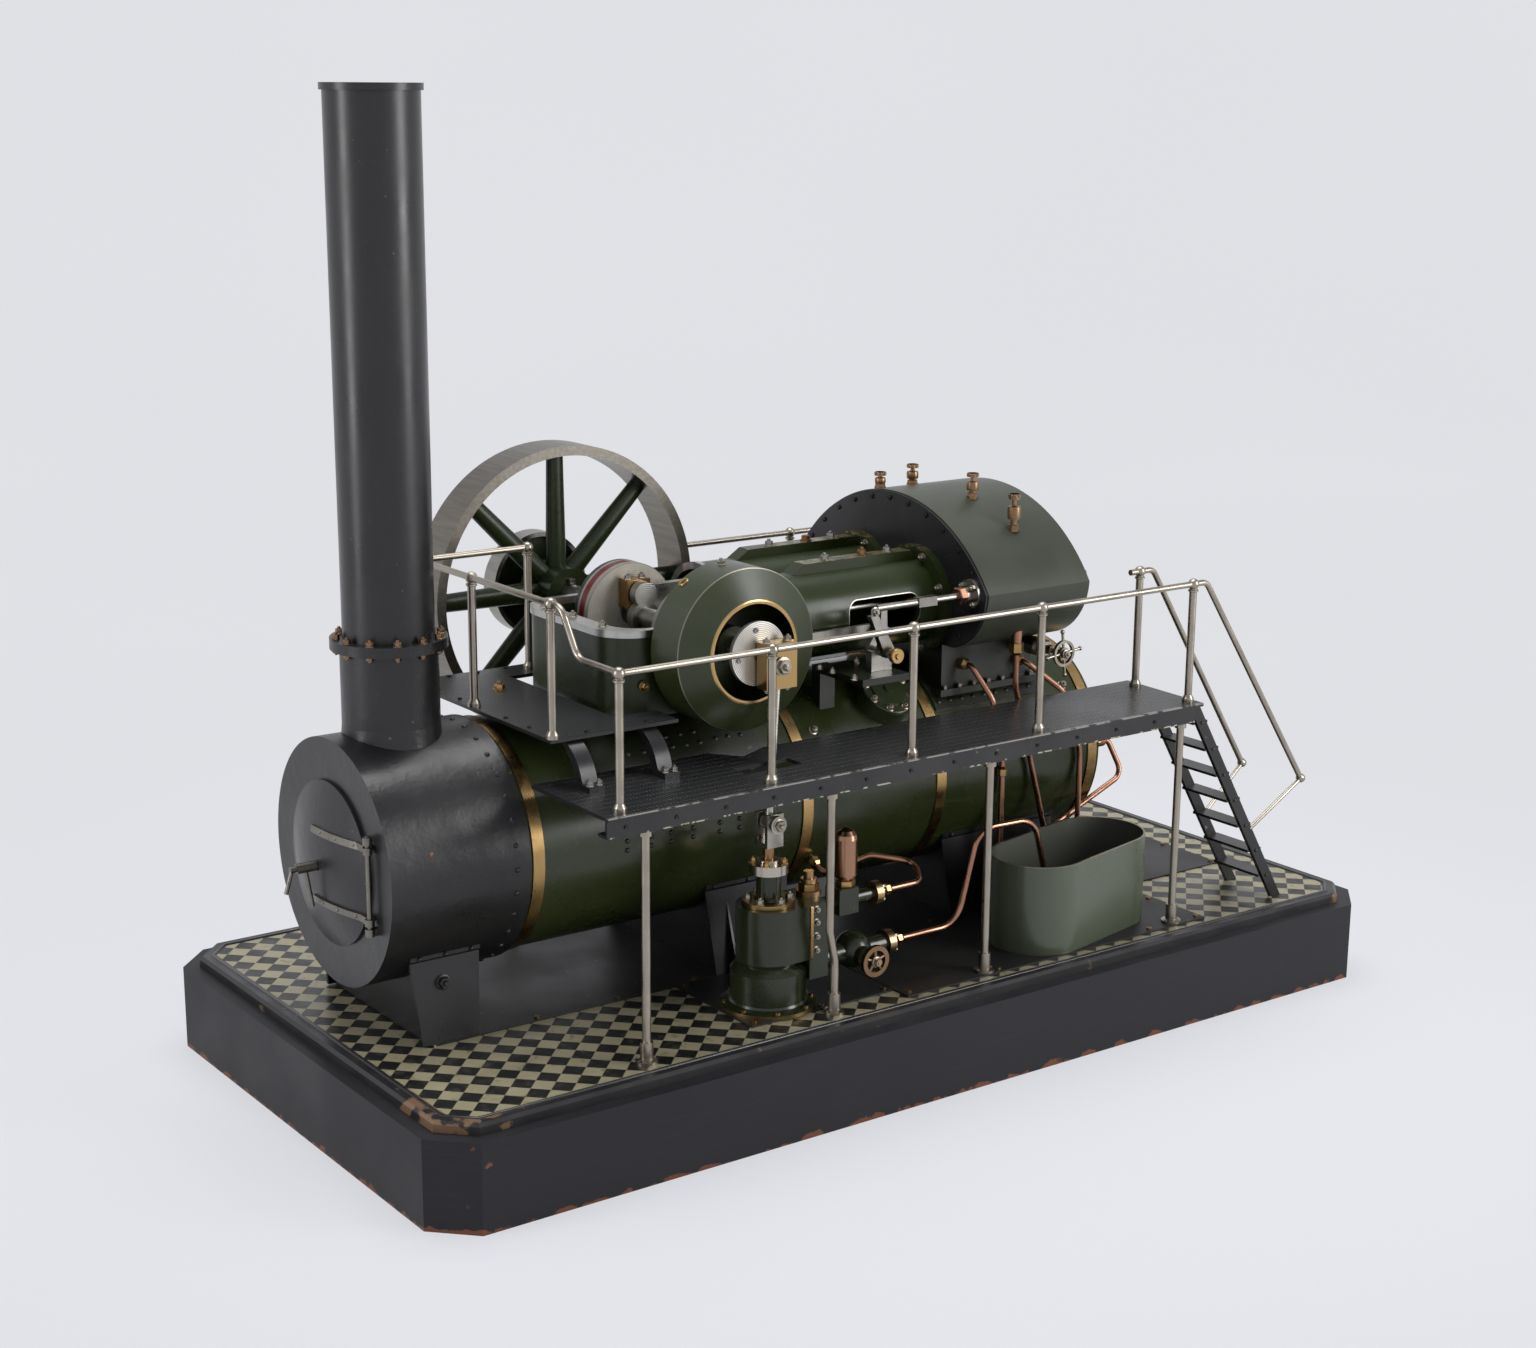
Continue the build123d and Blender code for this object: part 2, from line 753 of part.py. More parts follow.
def casing_face(shrink):
    """Arched end outline of the cylinder casing, drawn in the YZ plane."""
    half = casing_half_width - shrink
    top = casing_top_z - shrink
    low = casing_floor_z + shrink
    shoulder = crown_z(casing_half_width)
    foot = casing_floor_half - shrink
    haunch = casing_haunch_y - shrink
    crown = ThreePointArc((-half, shoulder), (0, top), (half, shoulder))
    right = ThreePointArc((half, shoulder), (haunch, casing_haunch_z), (foot, low))
    floor = Line((foot, low), (-foot, low))
    left = ThreePointArc((-foot, low), (-haunch, casing_haunch_z), (-half, shoulder))
    return make_face([crown, right, floor, left])


def make_casing():
    """Sheet cladding round both cylinders, its black front plate and the saddle below."""
    start = casing_front_x
    casing = profile_x(casing_face(0.0), start, start + casing_length)
    save("cylinder_casing", casing)
    save("casing_front_plate", profile_x(casing_face(1.0), start - front_plate_thickness, start))
    body = block(block_left_x, block_right_x, -block_half_width, block_half_width, 290, casing_floor_z)
    drum = bar((60, 0, boiler_z), (260, 0, boiler_z), boiler_radius + 1.2 + 2 * seat_gap)
    flange = block(block_left_x - 5, block_right_x + 5, -block_half_width - 6, block_half_width + 6, 290, 296)
    save("cylinder_saddle", body + flange - drum)


def oil_cup(x, y, height, wide):
    """Turned lubricator standing on the casing crown."""
    z = crown_z(y)
    outline = [
        (-1.0, 0),
        (-1.0, 5),
        (1.5, 5),
        (1.5, 3),
        (height * 0.3, 3),
        (height * 0.3, wide),
        (height * 0.65, wide),
        (height * 0.65, 2),
        (height * 0.85, 2),
        (height * 0.85, 5),
        (height, 5),
        (height, 0),
    ]
    cup = turned(outline, (x, y, z), "+z")
    return cup - profile_x(casing_face(0.0), casing_front_x, casing_front_x + casing_length)


def crown_z(y):
    """Height of the casing's crown at a distance from its middle."""
    centre = casing_top_z - casing_crown_radius
    return centre + math.sqrt(casing_crown_radius**2 - y**2)


def make_lubricators():
    """Brass lubricators along the casing top, one taller and plain."""
    save(
        "lubricators",
        oil_cup(122, 40, 15, 4.5),
        oil_cup(160, 40, 19, 5),
        oil_cup(162, -43, 22, 5),
        oil_cup(169, -92, 32, 5.5),
    )


def make_valve_gear():
    """Valve spindles with glands, rocking levers on brackets, and eccentric rods."""
    spindles = []
    rockers = []
    names = {-1: "near", 1: "far"}
    front = casing_front_x - front_plate_thickness
    for side in (-1, 1):
        y = side * valve_y
        gland = turned(
            [(0, 0), (0, 13.5), (4, 13.5), (4, 7), (14, 7), (14, 3), (44, 3), (44, 0)],
            (front, y, valve_z),
            "-x",
        )
        clevis = block(front - 62, front - 42, y - 4, y + 4, valve_z - 4, valve_z + 4)
        link = bar((front - 62, y, valve_z), (rocker_x - 14, y, valve_z), 3)
        spindles.append(gland + clevis + link)
        shaft = bar((rocker_x, side * 88, rocker_z), (rocker_x, side * 124, rocker_z), rocker_shaft_radius)
        lever = profile_y(
            [(rocker_x - 5, rocker_z - 3), (rocker_x - 22, valve_z - 6), (rocker_x - 14, valve_z - 6), (rocker_x + 5, rocker_z + 3)],
            side * 113, side * 119,
        )
        hand = profile_y(
            [(rocker_x - 5, rocker_z), (rocker_x - 2, rocker_z + 38), (rocker_x + 4, rocker_z + 38), (rocker_x + 5, rocker_z)],
            side * 105, side * 108,
        )
        inner = profile_y(
            [(rocker_x - 5, rocker_z), (rocker_x + 10, rocker_z + 22), (rocker_x + 19, rocker_z + 16), (rocker_x + 5, rocker_z - 3)],
            side * 89, side * 93,
        )
        stand = block(rocker_x - 8, rocker_x + 14, side * 95, side * 103, 332, rocker_z)
        arm_z = 326.0
        arm = block(rocker_x - 32, rocker_x + 18, side * 56, side * 122, arm_z, 332)
        leg = block(rocker_x - 32, rocker_x - 16, side * 50, side * 62, 260, 332)
        drum = bar((rocker_x - 40, 0, boiler_z), (rocker_x + 40, 0, boiler_z), boiler_radius + seat_gap)
        rockers.append(shaft + lever + hand + inner + stand + arm + (leg - drum))
        centre = eccentric_centre(side)
        ey = eccentric_y(side)
        half = eccentric_width / 2 - 0.2
        strap = bar((centre[0], ey - half, centre[1]), (centre[0], ey + half, centre[1]), strap_radius)
        end_x = rocker_x + 14
        rod = block(centre[0] + 20, end_x, ey - half, ey + half, centre[1] - 3.5, centre[1] + 3.5)
        eye = bar((end_x, ey - half, centre[1]), (end_x, ey + half, centre[1]), 5)
        hole = bar((centre[0], ey - 9, centre[1]), (centre[0], ey + 9, centre[1]), eccentric_radius + run_gap)
        save(names[side] + "_eccentric_rod", strap + rod + eye - hole)
    save("valve_spindles", *spindles)
    save("valve_rockers", *rockers)


def make_manhole():
    """Oval inspection cover on the boiler shoulder with its dogs and nuts."""
    turn = Pos(46, 0, boiler_z) * Rot(40, 0, 0)
    neck = Pos(0, 0, 95) * Cylinder(26, 14, align=(Align.CENTER, Align.CENTER, Align.MIN))
    drum = bar((0, 0, boiler_z), (90, 0, boiler_z), boiler_radius + seat_gap)
    save("manhole", turn * neck - drum)


def fascia(x0, x1, side):
    """Folded edge of a platform: an upright strip with a flange under it."""
    face = side * (deck_outer_y - 2)
    back = face - side * fascia_width
    lip = face - side * fascia_flange
    low = deck_z - fascia_depth
    strip = block(x0, x1, face, back, low, deck_z - deck_thickness)
    return strip + block(x0, x1, face, lip, low, low + flange_sheet)


def make_platforms():
    """Near, far and cross platforms of chequer plate with folded edges."""
    low = deck_z - deck_thickness
    near = profile_deck(-1) + fascia(deck_left_x, deck_right_x - 8, -1)
    slot = block(pump_x - 29, pump_x + 26, pump_y - 10, pump_y + 10, low - 20, deck_z + 5)
    save("near_platform", near - slot)
    far = block(far_deck_x, deck_right_x, deck_inner_y, deck_outer_y, low, deck_z)
    save("far_platform", far + fascia(far_deck_x, deck_right_x, 1))
    upper = block(upper_left_x, upper_right_x, upper_near_y, upper_far_y, upper_deck_z - deck_thickness, upper_deck_z)
    notch = block(upper_notch_x, upper_right_x + 1, -upper_notch_half, upper_notch_half, 300, 340)
    save("upper_platform", upper - notch)


def make_brackets():
    """Curved arms that carry the near edge of the upper platform from the deck."""
    arms = []
    top = upper_deck_z - deck_thickness
    drop = top - deck_z
    for x in bracket_places:
        heel = upper_near_y - 22
        ring = make_face(
            [
                ThreePointArc((heel, deck_z), (heel + 8, deck_z + drop * 0.6), (upper_near_y + 6, top)),
                Line((upper_near_y + 6, top), (upper_near_y + 14, top)),
                ThreePointArc((upper_near_y + 14, top), (heel + 16, deck_z + drop * 0.5), (heel + 7, deck_z)),
                Line((heel + 7, deck_z), (heel, deck_z)),
            ]
        )
        half = bracket_width / 2
        foot = block(x - half, x + half, heel - 10, heel + 6, deck_z, deck_z + 5)
        arms.append(profile_x(ring, x - half, x + half) + foot)
    save("platform_brackets", *arms)


def profile_deck(side):
    """Flat deck outline of the near platform."""
    points = [
        (deck_left_x, side * deck_inner_y * 0.9),
        (deck_left_x, side * deck_outer_y),
        (deck_right_x, side * deck_outer_y),
        (deck_right_x + 4, side * deck_inner_y),
        (-120, side * deck_inner_y),
        (-150, side * 128),
        (-170, side * deck_inner_y * 0.9),
    ]
    face = make_face(Polyline(*points, close=True))
    return Pos(0, 0, deck_z - deck_thickness) * extrude(face, amount=deck_thickness)


def make_columns():
    """Columns that carry the platforms along both sides."""
    top = deck_z - fascia_depth
    posts = []
    for x in column_places:
        base = floor_z if x < -60 else deck_plate_z
        make = bent_column if x == bent_column_x else column
        posts.append(make(x, -column_y, base, top))
    for x in column_places[2:]:
        posts.append(column(x, column_y, floor_z, top))
    for x in bracket_places:
        posts.append(column(x, far_column_y, floor_z, upper_deck_z - deck_thickness))
    save("platform_columns", *posts)


def column(x, y, base, top):
    """Column with a foot socket and a small cap."""
    height = top - base
    return turned(
        [
            (0, 0),
            (0, 9),
            (2, 9),
            (3, 5.2),
            (17, 5.2),
            (17, column_radius),
            (height - 4, column_radius),
            (height - 4, 5.2),
            (height, 5.2),
            (height, 0),
        ],
        (x, y, base),
        "+z",
    )


def bent_column(x, y, base, top):
    """Column that has been knocked: its foot stands to one side of its upper length."""
    foot_x = x + bent_column_shift
    stem = bent_pipe(
        [(foot_x, y, base), (foot_x, y, bend_low_z), (x, y, bend_high_z), (x, y, top)],
        [20.0, 20.0],
        column_radius,
    )
    foot = turned([(0, 0), (0, 9), (2, 9), (3, 5.2), (17, 5.2), (17, 0)], (foot_x, y, base), "+z")
    cap = turned([(0, 0), (0, 5.2), (4, 5.2), (4, 0)], (x, y, top - 4), "+z")
    return foot + stem + cap


def post(x, y, base, height):
    """Rail post with a foot collar and a ball top."""
    stem = bar((x, y, base), (x, y, base + height), post_radius)
    foot = bar((x, y, base), (x, y, base + 3), post_radius + 2)
    return stem + foot + ball((x, y, base + height), ball_radius)


def make_railings():
    """Handrails along the platforms and down beside the ladder."""
    rail_z = deck_z + rail_height
    rails = post(rail_places[0], -rail_y, deck_z, rail_height)
    for x in rail_places[1:]:
        rails = rails + post(x, -rail_y, deck_z, rail_height)
    rails = rails + bar((rail_places[0], -rail_y, rail_z), (rail_places[-1], -rail_y, rail_z), rail_radius)
    end_x = 440.0
    end_z = 190.0
    near_slope = bent_pipe(
        [(rail_places[-1], -rail_y, rail_z), (rail_places[-1] + 16, -rail_y, rail_z), (end_x, -rail_y, end_z)],
        [10.0],
        rail_radius,
    )
    inner_post_y = -134.0
    inner_post_x = 286.0
    far_slope = bent_pipe(
        [(inner_post_x - 12, inner_post_y, rail_z), (inner_post_x + 16, inner_post_y, rail_z), (end_x - 6, inner_post_y, end_z)],
        [10.0],
        rail_radius,
    )
    rails = rails + near_slope
    inner = post(inner_post_x, inner_post_y, deck_z, rail_height) + far_slope
    rise = rail_height
    up_z = upper_deck_z + rise
    up_x = upper_left_x + 4
    end_x = rail_places[0]
    s_bend = bent_pipe(
        [(up_x, upper_near_y + 4, up_z), (up_x, upper_near_y - 12, up_z), (end_x, -145, rail_z), (end_x, -rail_y, rail_z)],
        [12.0, 12.0],
        rail_radius,
    )
    upper = post(up_x, upper_near_y + 4, upper_deck_z, rise) + post(up_x, 10, upper_deck_z, rise)
    upper = upper + bar((up_x, upper_near_y + 4, up_z), (up_x, far_rail_y - ball_radius - seat_gap, up_z), rail_radius)
    upper = upper + s_bend
    save("near_railing", rails + upper, inner)
    end = upper_right_x - 10
    far = post(up_x, far_rail_y, upper_deck_z, rise) + post(end, far_rail_y, upper_deck_z, rise)
    far = far + bar((up_x, far_rail_y, up_z), (end, far_rail_y, up_z), rail_radius)
    run = post(2, rail_y, deck_z, rail_height)
    for x in (140.0, 284.0):
        run = run + post(x, rail_y, deck_z, rail_height)
    run = run + bar((2, rail_y, rail_z), (284, rail_y, rail_z), rail_radius)
    save("far_railing", far, run)


def make_ladder():
    """Steep ladder of flat bar with flat treads up to the near platform."""
    top_z = deck_z - deck_thickness - 0.5
    half = ladder_half_width
    side_bars = []
    for side in (-1, 1):
        y = ladder_y + side * half
        outline = [
            (ladder_top_x - 7, top_z),
            (ladder_top_x + 5, top_z),
            (ladder_foot_x + 6, floor_z),
            (ladder_foot_x - 6, floor_z),
        ]
        side_bars.append(profile_y(outline, y - 2, y + 2))
    ladder = side_bars[0] + side_bars[1]
    run = ladder_foot_x - ladder_top_x
    drop = top_z - floor_z
    for i in range(1, tread_count + 1):
        z = top_z - drop * (i - 0.35) / (tread_count + 0.5)
        x = ladder_top_x + run * (top_z - z) / drop
        ladder = ladder + block(x - 10, x + 8, ladder_y - half, ladder_y + half, z - 1.2, z + 1.2)
    save("ladder", ladder)


def make_pump():
    """Vertical feed pump with its gland, ram, valve box and copper pipes."""
    x, y = pump_x, pump_y
    base = deck_plate_z
    drum_top = 38.0
    casing_top = 87.0
    cover_top = 91.0
    neck_top = 114.0
    barrel = turned(
        [
            (0, 0),
            (0, pump_base_radius),
            (3, pump_base_radius),
            (4, pump_base_radius - 3),
            (5, pump_barrel_radius + 1),
            (7, pump_barrel_radius),
            (drum_top - 6, pump_barrel_radius),
            (drum_top - 3, pump_barrel_radius - 3),
            (drum_top, pump_casing_radius - 2),
            (drum_top + 3, pump_casing_radius),
            (casing_top, pump_casing_radius),
            (casing_top, 22),
            (cover_top, 22),
            (cover_top, 12),
            (cover_top + 2, 10.3),
            (neck_top, 10.3),
            (neck_top, 0),
        ],
        (x, y, base),
        "+z",
    )
    flat = pump_casing_radius
    casing = block(x, x + 24, y - flat, y + flat, base + drum_top + 3, base + casing_top)
    chest = block(x + 24, x + 43, y - flat + 2, y + flat - 8, base + 22.5, base + casing_top)
    outlet = block(x + 66, x + 86, y - 10, y + 10, delivery_z - 10, delivery_z + 12)
    outlet = outlet + bar((x + 42, y, delivery_z), (x + 67, y, delivery_z), 6)
    outlet = outlet + bar((x + 85, y, delivery_z), (x + 107, y, delivery_z), 5.5)
    inlet = bar((x + 42, y, suction_z), (x + 76, y, suction_z), 9) + ball((x + 88, y, suction_z + 1), 16)
    inlet = inlet + bar((x + 88, y, suction_z), (x + 121, y, suction_z), 8)
    inlet = inlet + bar((x + 87, y, suction_z), (x + 87, y - 20, suction_z), 8)
    ram_hole = bar((x, y, base + 80), (x, y, base + 130), ram_radius + slide_gap)
    save("pump_body", barrel + casing + chest + outlet + inlet - ram_hole)
    gland = turned(
        [(0, ram_radius + slide_gap), (0, 16.4), (8, 16.4), (8, 9), (11, 9), (11, ram_radius + slide_gap)],
        (x, y, base + neck_top),
        "+z",
    )
    cap = turned(
        [(0, 0), (0, 10.5), (4, 10.5), (4, 6.8), (14, 6.8), (14, 4.4), (20, 4.4), (20, 0)],
        (x + 41, y, base + casing_top),
        "+z",
    )
    vessel = turned(
        [(0, 0), (0, 4), (6, 4), (8, 9.2), (10, 9.7), (41, 9.7), (45, 8.8), (48.5, 6.2), (50.5, 3), (51, 0)],
        (x + 79.4, y, delivery_z + 12),
        "+z",
    )
    delivery_flange = turned([(0, 0), (0, 10), (7, 10), (7, 0)], (x + 107, y, delivery_z), "+x")
    suction_flange = turned([(0, 0), (0, 11), (7, 11), (7, 0)], (x + 121, y, suction_z), "+x")
    spindle = bar((x + 87, y - 20, suction_z), (x + 87, y - 38, suction_z), 3)
    save("pump_fittings", gland, cap, vessel, delivery_flange, suction_flange, spindle)
    fork_low = pump_eye_z - 20
    ram = bar((x, y, base + 90), (x, y, fork_low), ram_radius)
    fork = block(x - 8, x + 8, y - 9, y + 9, fork_low, pump_eye_z + 8)
    fork = fork - block(x - 9, x + 9, y - 5.4, y + 5.4, fork_low + 4, pump_eye_z + 20)
    boss = bar((x, y - 9, pump_eye_z), (x, y - 14, pump_eye_z), 7.6)
    save("pump_ram", ram + fork + boss)
    wheel_y = y - 30
    wheel = turned([(0, 9.5), (0, 13.5), (4, 13.5), (4, 9.5)], (x + 87, wheel_y, suction_z), "-y")
    wheel = wheel + turned(
        [(0, 3 + run_gap), (0, 5), (4, 5), (4, 3 + run_gap)], (x + 87, wheel_y, suction_z), "-y"
    )
    for i in range(5):
        angle = math.radians(90 + 72 * i)
        c, s = math.cos(angle), math.sin(angle)
        inner = (x + 87 + 4 * c, wheel_y - 2, suction_z + 4 * s)
        outer = (x + 87 + 10.5 * c, wheel_y - 2, suction_z + 10.5 * s)
        wheel = wheel + bar(inner, outer, 1.6)
    save("suction_valve_wheel", wheel)
    delivery = bent_pipe(
        [
            (x + 114, y, delivery_z),
            (11, y, delivery_z),
            (28, -136, delivery_z + 7.5),
            (-8, -117, delivery_z + 15.5),
            (-46, -101.9, 159.3),
            (-46, -83.85, 169.9),
        ],
        [12.0, 13.0, 20.0, 9.0],
        pipe_radius,
    )
    suction = bent_pipe(
        [(x + 128, y, suction_z), (54, y, suction_z), (72, -168, 196), (132, -172, 196), (156, -172, 112)],
        [24.0, 22.0, 22.0],
        pipe_radius,
    )
    save("feed_pipes", delivery, suction)


def make_pump_rod():
    """Pump rod hanging from the overhung pin, its eye between the ram's cheeks."""
    px, pz = pin_place(pump_crank_angle, pump_throw)
    front = pump_disc_y - pump_disc_width
    y0 = front - 15.5
    y1 = front - 1.5
    middle = (y0 + y1) / 2
    head = block(px - 15, px + 15, y0, y1, pz - 19, pz + 19)
    hole = bar((px, y0 - 5, pz), (px, y1 + 5, pz), pump_pin_radius + run_gap)
    shank = bar((px, middle, pz - 18), (pump_x, pump_y, pump_eye_z), 3.2)
    eye = bar((pump_x, pump_y - 3.5, pump_eye_z), (pump_x, pump_y + 3.5, pump_eye_z), 6.5)
    save("pump_rod", head + shank + eye - hole)


def make_tank():
    """Open oval feed tank on the floor plate."""
    length = tank_length - tank_width
    outer = extrude(SlotCenterToCenter(length, tank_width), amount=tank_height)
    inner = Pos(0, 0, tank_wall) * extrude(
        SlotCenterToCenter(length, tank_width - 2 * tank_wall), amount=tank_height
    )
    save("feed_tank", Pos(tank_x, tank_y, deck_plate_z) * Rot(0, 0, tank_turn) * (outer - inner))


def make_stop_valve():
    """Nickel steam stop valve on the saddle with its handled wheel."""
    x, z = stop_valve_x, stop_valve_z
    y = -block_half_width
    wheel_y = stop_wheel_y
    body = turned(
        [
            (0, 0),
            (0, 8.5),
            (3, 8.5),
            (3, 7),
            (10, 7),
            (14, 8.5),
            (30, 8.5),
            (34, 6.5),
            (40, 6.5),
            (40, 4.5),
            (48, 4.5),
            (48, stop_spindle_radius),
            (y - wheel_y + 5, stop_spindle_radius),
            (y - wheel_y + 5, 0),
        ],
        (x, y, z),
        "-y",
    )
    save("stop_valve", body)
    bore = stop_spindle_radius + run_gap
    centre = (x, wheel_y, z)
    wheel = turned([(0, 9.6), (0, 12), (3, 12), (3, 9.6)], centre, "-y")
    wheel = wheel + turned([(0, bore), (0, 5.5), (3, 5.5), (3, bore)], centre, "-y")
    for i in range(4):
        angle = math.radians(90 * i + 6)
        c, s = math.cos(angle), math.sin(angle)
        inner = (x + 4.5 * c, wheel_y - 1.5, z + 4.5 * s)
        outer = (x + stop_handle_reach * c, wheel_y - 1.5, z + stop_handle_reach * s)
        wheel = wheel + bar(inner, outer, 1.3)
    save("stop_valve_wheel", wheel)


def make_steam_pipes():
    """Copper drain and feed pipes from the cylinders down past the platform."""
    low = deck_plate_z
    side = -block_half_width
    drain = bent_pipe(
        [(131, side, 317), (131, -84, 317), (141, -103, 288), (156, -101.5, 226), (156, -101.5, low)],
        [8.0, 20.0, 60.0],
        pipe_radius,
    )
    centre_drain = bent_pipe(
        [(159, -112, 362), (160, -111, 300), (188, -102.5, 228), (210, -102.5, 150), (210, -102.5, low)],
        [40.0, 60.0, 60.0],
        pipe_radius,
    )
    union = bar((159, -112, 362), (159.3, -111.7, 334), 4.5)
    cladding = profile_x(casing_face(-seat_gap), casing_front_x, casing_front_x + casing_length)
    back_drain = bent_pipe(
        [(196, side, 312), (196, -84, 312), (226, -104, 284), (251, -101.5, 226), (251, -101.5, low)],
        [8.0, 20.0, 60.0],
        pipe_radius,
    )
    end_x = boiler_back_x + 8
    blow_down = bent_pipe(
        [(end_x, -80, 222), (end_x + 19, -80, 222), (318, -90, 188), (222, -92, 150), (222, -92, low)],
        [9.0, 12.0, 14.0],
        pipe_radius,
    )
    cock = bar((end_x, -80, 222), (end_x + 12, -80, 222), 6)
    save("steam_pipes", drain, (centre_drain + union) - cladding, back_drain, blow_down + cock)


make_plinth()
make_floor_plates()
make_smokebox()
make_door()
make_boiler()
make_saddles()
make_chimney()
make_riveted_plates()
make_bed()
make_crankshaft()
make_flywheel()
make_drum()
make_guides()
make_running_gear()
make_casing()
make_lubricators()
make_valve_gear()
make_manhole()
make_platforms()
make_brackets()
make_columns()
make_railings()
make_ladder()
make_pump()
make_pump_rod()
make_tank()
make_stop_valve()
make_steam_pipes()
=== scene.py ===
import math

import bpy
import numpy as np
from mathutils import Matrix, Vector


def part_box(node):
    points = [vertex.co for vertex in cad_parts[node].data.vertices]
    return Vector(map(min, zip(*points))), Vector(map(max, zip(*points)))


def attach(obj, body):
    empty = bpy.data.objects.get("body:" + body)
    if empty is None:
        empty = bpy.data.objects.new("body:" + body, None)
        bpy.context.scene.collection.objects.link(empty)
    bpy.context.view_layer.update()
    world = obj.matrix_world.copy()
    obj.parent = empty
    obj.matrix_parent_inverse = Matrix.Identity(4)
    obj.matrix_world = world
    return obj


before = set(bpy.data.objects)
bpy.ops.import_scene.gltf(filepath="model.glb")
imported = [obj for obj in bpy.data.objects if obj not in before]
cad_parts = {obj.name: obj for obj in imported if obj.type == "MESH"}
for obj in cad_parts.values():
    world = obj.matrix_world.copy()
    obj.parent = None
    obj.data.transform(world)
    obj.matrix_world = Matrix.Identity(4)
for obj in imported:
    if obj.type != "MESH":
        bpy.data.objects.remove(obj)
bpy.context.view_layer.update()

# Studio. A pale paper bowl stands round the model, so that every side has the same plain
# background, and large soft lamps hang over it. The camera stands where the picture was taken.
camera_data = bpy.data.cameras.new("camera")
camera_data.sensor_width = 36
camera_data.lens = 56.99
camera_data.shift_x = 0.00138
camera_data.shift_y = 0.01669
camera_data.clip_end = 40
camera = bpy.data.objects.new("camera", camera_data)
camera.location = (-1.25918, -1.69023, 0.81666)
camera.rotation_euler = [math.radians(a) for a in (75.88375, -0.36486, -35.82626)]
bpy.context.scene.collection.objects.link(camera)
bpy.context.scene.camera = camera
bpy.context.scene.view_settings.view_transform = "Standard"


def carry(section, levels, places, axes, turn=0):
    """A closed section carried along a straight axis, once for each place. Sizes in millimetres.

    Point = place + h * axis + s * (x * u + y * v), for each (h, s) of the levels and each
    (x, y) of the section, with u and v square to the axis. Both ends are closed.
    """
    places = np.atleast_2d(np.asarray(places, float))
    axes = np.broadcast_to(np.atleast_2d(np.asarray(axes, float)), places.shape)
    axes = axes / np.linalg.norm(axes, axis=1, keepdims=True)
    upright = np.abs(axes[:, 2:]) > 0.9
    other = np.where(upright, np.array([[1, 0, 0]]), np.array([[0, 0, 1]]))
    u = np.cross(other, axes)
    u = u / np.linalg.norm(u, axis=1, keepdims=True)
    v = np.cross(axes, u)
    h, s = np.asarray(levels, float).T
    x, y = np.asarray(section, float).T
    c, d = math.cos(turn), math.sin(turn)
    x, y = c * x - d * y, d * x + c * y
    ring = x[None, :, None] * u[:, None] + y[None, :, None] * v[:, None]
    points = places[:, None, None] + h[None, :, None, None] * axes[:, None, None]
    points = points + s[None, :, None, None] * ring[:, None]
    return grid(points, caps=True)


def lathe(outline, places, axes, sides):
    """An outline of (distance, radius) carried round an axis, once for each place."""
    t = np.arange(sides) * 2 * np.pi / sides
    return carry(np.stack((np.cos(t), np.sin(t)), axis=1), outline, places, axes)


def grid(points, caps=False):
    """Faces between the rings of one or more closed tubes of points (copy, ring, step, xyz).

    Each face joins a step and the next one on a ring to the same two on the ring above.
    """
    copies, rings, steps, _ = points.shape
    index = np.arange(copies * rings * steps).reshape(copies, rings, steps)
    after = np.roll(index, -1, axis=2)
    quads = np.stack((index[:, :-1], after[:, :-1], after[:, 1:], index[:, 1:]), axis=-1)
    faces = quads.reshape(-1, 4).tolist()
    if caps:
        faces += index[:, 0, ::-1].tolist() + index[:, -1].tolist()
    return points.reshape(-1, 3), faces


def piece(name, parts, finish, body="engine", sharp=32):
    """One mesh from sets of points in millimetres and their faces.

    It takes its material from its finish, and rides on its body when the finish has a slot.
    """
    points, faces, base = [], [], 0
    for some_points, some_faces in parts:
        points.append(some_points)
        faces += [[base + i for i in face] for face in some_faces]
        base += len(some_points)
    mesh = bpy.data.meshes.new(name)
    mesh.from_pydata((0.001 * np.concatenate(points)).tolist(), [], faces)
    mesh.shade_smooth()
    mesh.set_sharp_from_angle(angle=math.radians(sharp))
    mesh.materials.append(finish.material)
    made = bpy.data.objects.new(name, mesh)
    bpy.context.scene.collection.objects.link(made)
    if finish.slot:
        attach(made, body)
    return made


